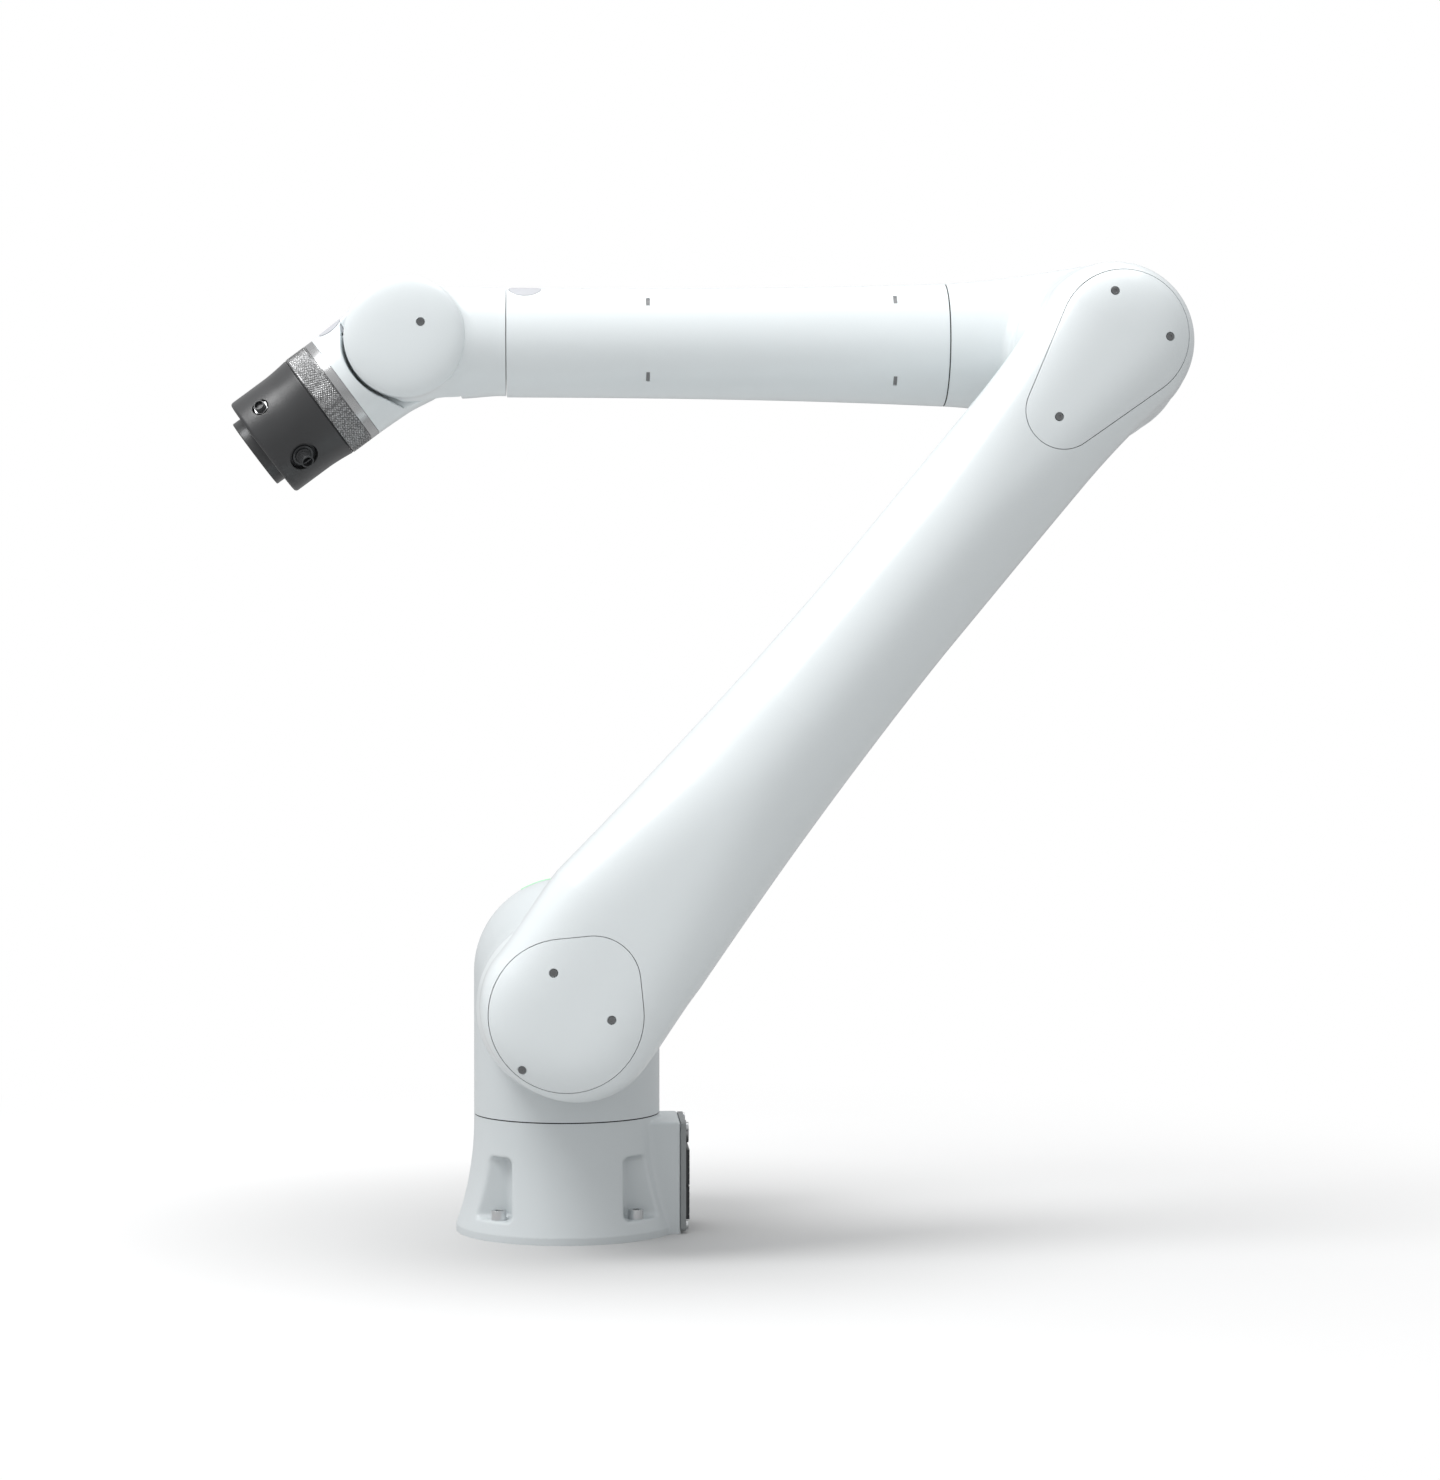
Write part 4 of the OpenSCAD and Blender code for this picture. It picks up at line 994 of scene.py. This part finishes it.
# Painted shade: the floor's colour is darker within about half a metre of the foot, standing in for the soft
# shadow round it
painted_foot_shade = nodes.new("ShaderNodeMapRange")
painted_foot_shade.interpolation_type = "SMOOTHSTEP"
for key, value in (("From Min", 0.08), ("From Max", 0.55), ("To Min", 0.62), ("To Max", 0.82)):
    painted_foot_shade.inputs[key].default_value = value
links.new(reach.outputs["Value"], painted_foot_shade.inputs["Value"])
links.new(painted_foot_shade.outputs["Result"], seen.inputs["Color"])
links.new(reach.outputs["Value"], far.inputs["Value"])
links.new(far.outputs["Result"], fade.inputs["Fac"])
links.new(seen.outputs["BSDF"], fade.inputs[1])
links.new(glow.outputs["Emission"], fade.inputs[2])
links.new(fade.outputs["Shader"], either.inputs[2])
links.new(either.outputs["Shader"], nodes["Material Output"].inputs["Surface"])
floor.data.materials.append(paint)

# The light comes from a sky that is brighter up, to the left and in front. The camera sees plain white
world = bpy.data.worlds.new("studio")
scene.world = world
tree, nodes, links = nodes_of(world)
sky = nodes["Background"]
where = nodes.new("ShaderNodeTexCoord")
lean = nodes.new("ShaderNodeVectorMath")
lean.operation = "DOT_PRODUCT"
lean.inputs[1].default_value = Vector((-0.45, -0.25, 0.86)).normalized()
links.new(where.outputs["Generated"], lean.inputs[0])
grade = nodes.new("ShaderNodeValToRGB")
stops = grade.color_ramp
stops.elements[0].position, stops.elements[0].color = 0.0, (0.50, 0.51, 0.52, 1)
stops.elements[1].position, stops.elements[1].color = 1.0, (1.0, 1.0, 1.0, 1)
half = nodes.new("ShaderNodeMapRange")
half.inputs["From Min"].default_value = -0.7
links.new(lean.outputs["Value"], half.inputs["Value"])
links.new(half.outputs["Result"], grade.inputs["Fac"])
links.new(grade.outputs["Color"], sky.inputs["Color"])
sky.inputs["Strength"].default_value = 0.8
blank, choose, ray = (nodes.new("ShaderNode" + n) for n in ("Background", "MixShader", "LightPath"))
links.new(ray.outputs["Is Camera Ray"], choose.inputs["Fac"])
links.new(sky.outputs["Background"], choose.inputs[1])
links.new(blank.outputs["Background"], choose.inputs[2])
blank.inputs["Color"].default_value = (1, 1, 1, 1)
links.new(choose.outputs["Shader"], nodes["World Output"].inputs["Surface"])


def area_light(name, at, aim, size, power, height=None):
    lamp = bpy.data.lights.new(name, "AREA")
    lamp.shape = "RECTANGLE"
    lamp.size, lamp.size_y, lamp.energy = size, height or size, power
    o = bpy.data.objects.new(name, lamp)
    scene.collection.objects.link(o)
    o.location = at
    o.rotation_mode = "QUATERNION"
    o.rotation_quaternion = (Vector(aim) - Vector(at)).to_track_quat("-Z", "Y")


area_light("key", (-1.5, -1.0, 2.9), (0.1, 0, 0.4), 1.3, 46)
area_light("top", (0.2, 0.3, 3.4), (0.2, 0, 0.3), 3.0, 42)

camera = bpy.data.objects.new("camera", bpy.data.cameras.new("camera"))
scene.collection.objects.link(camera)
scene.camera = camera
# Fitted to the photo's perspective: lens in millimetres, place in metres, and angles in radians
camera.data.lens = 80.14
camera.data.clip_end = 100
camera.location = (-0.0201, -2.8484, 0.4587)
yaw, pitch = 0.05355, -0.01291
gaze = Vector((math.sin(yaw) * math.cos(pitch), math.cos(yaw) * math.cos(pitch), math.sin(pitch)))
camera.rotation_mode = "QUATERNION"
camera.rotation_quaternion = gaze.to_track_quat("-Z", "Y")
scene.view_settings.view_transform = "Standard"
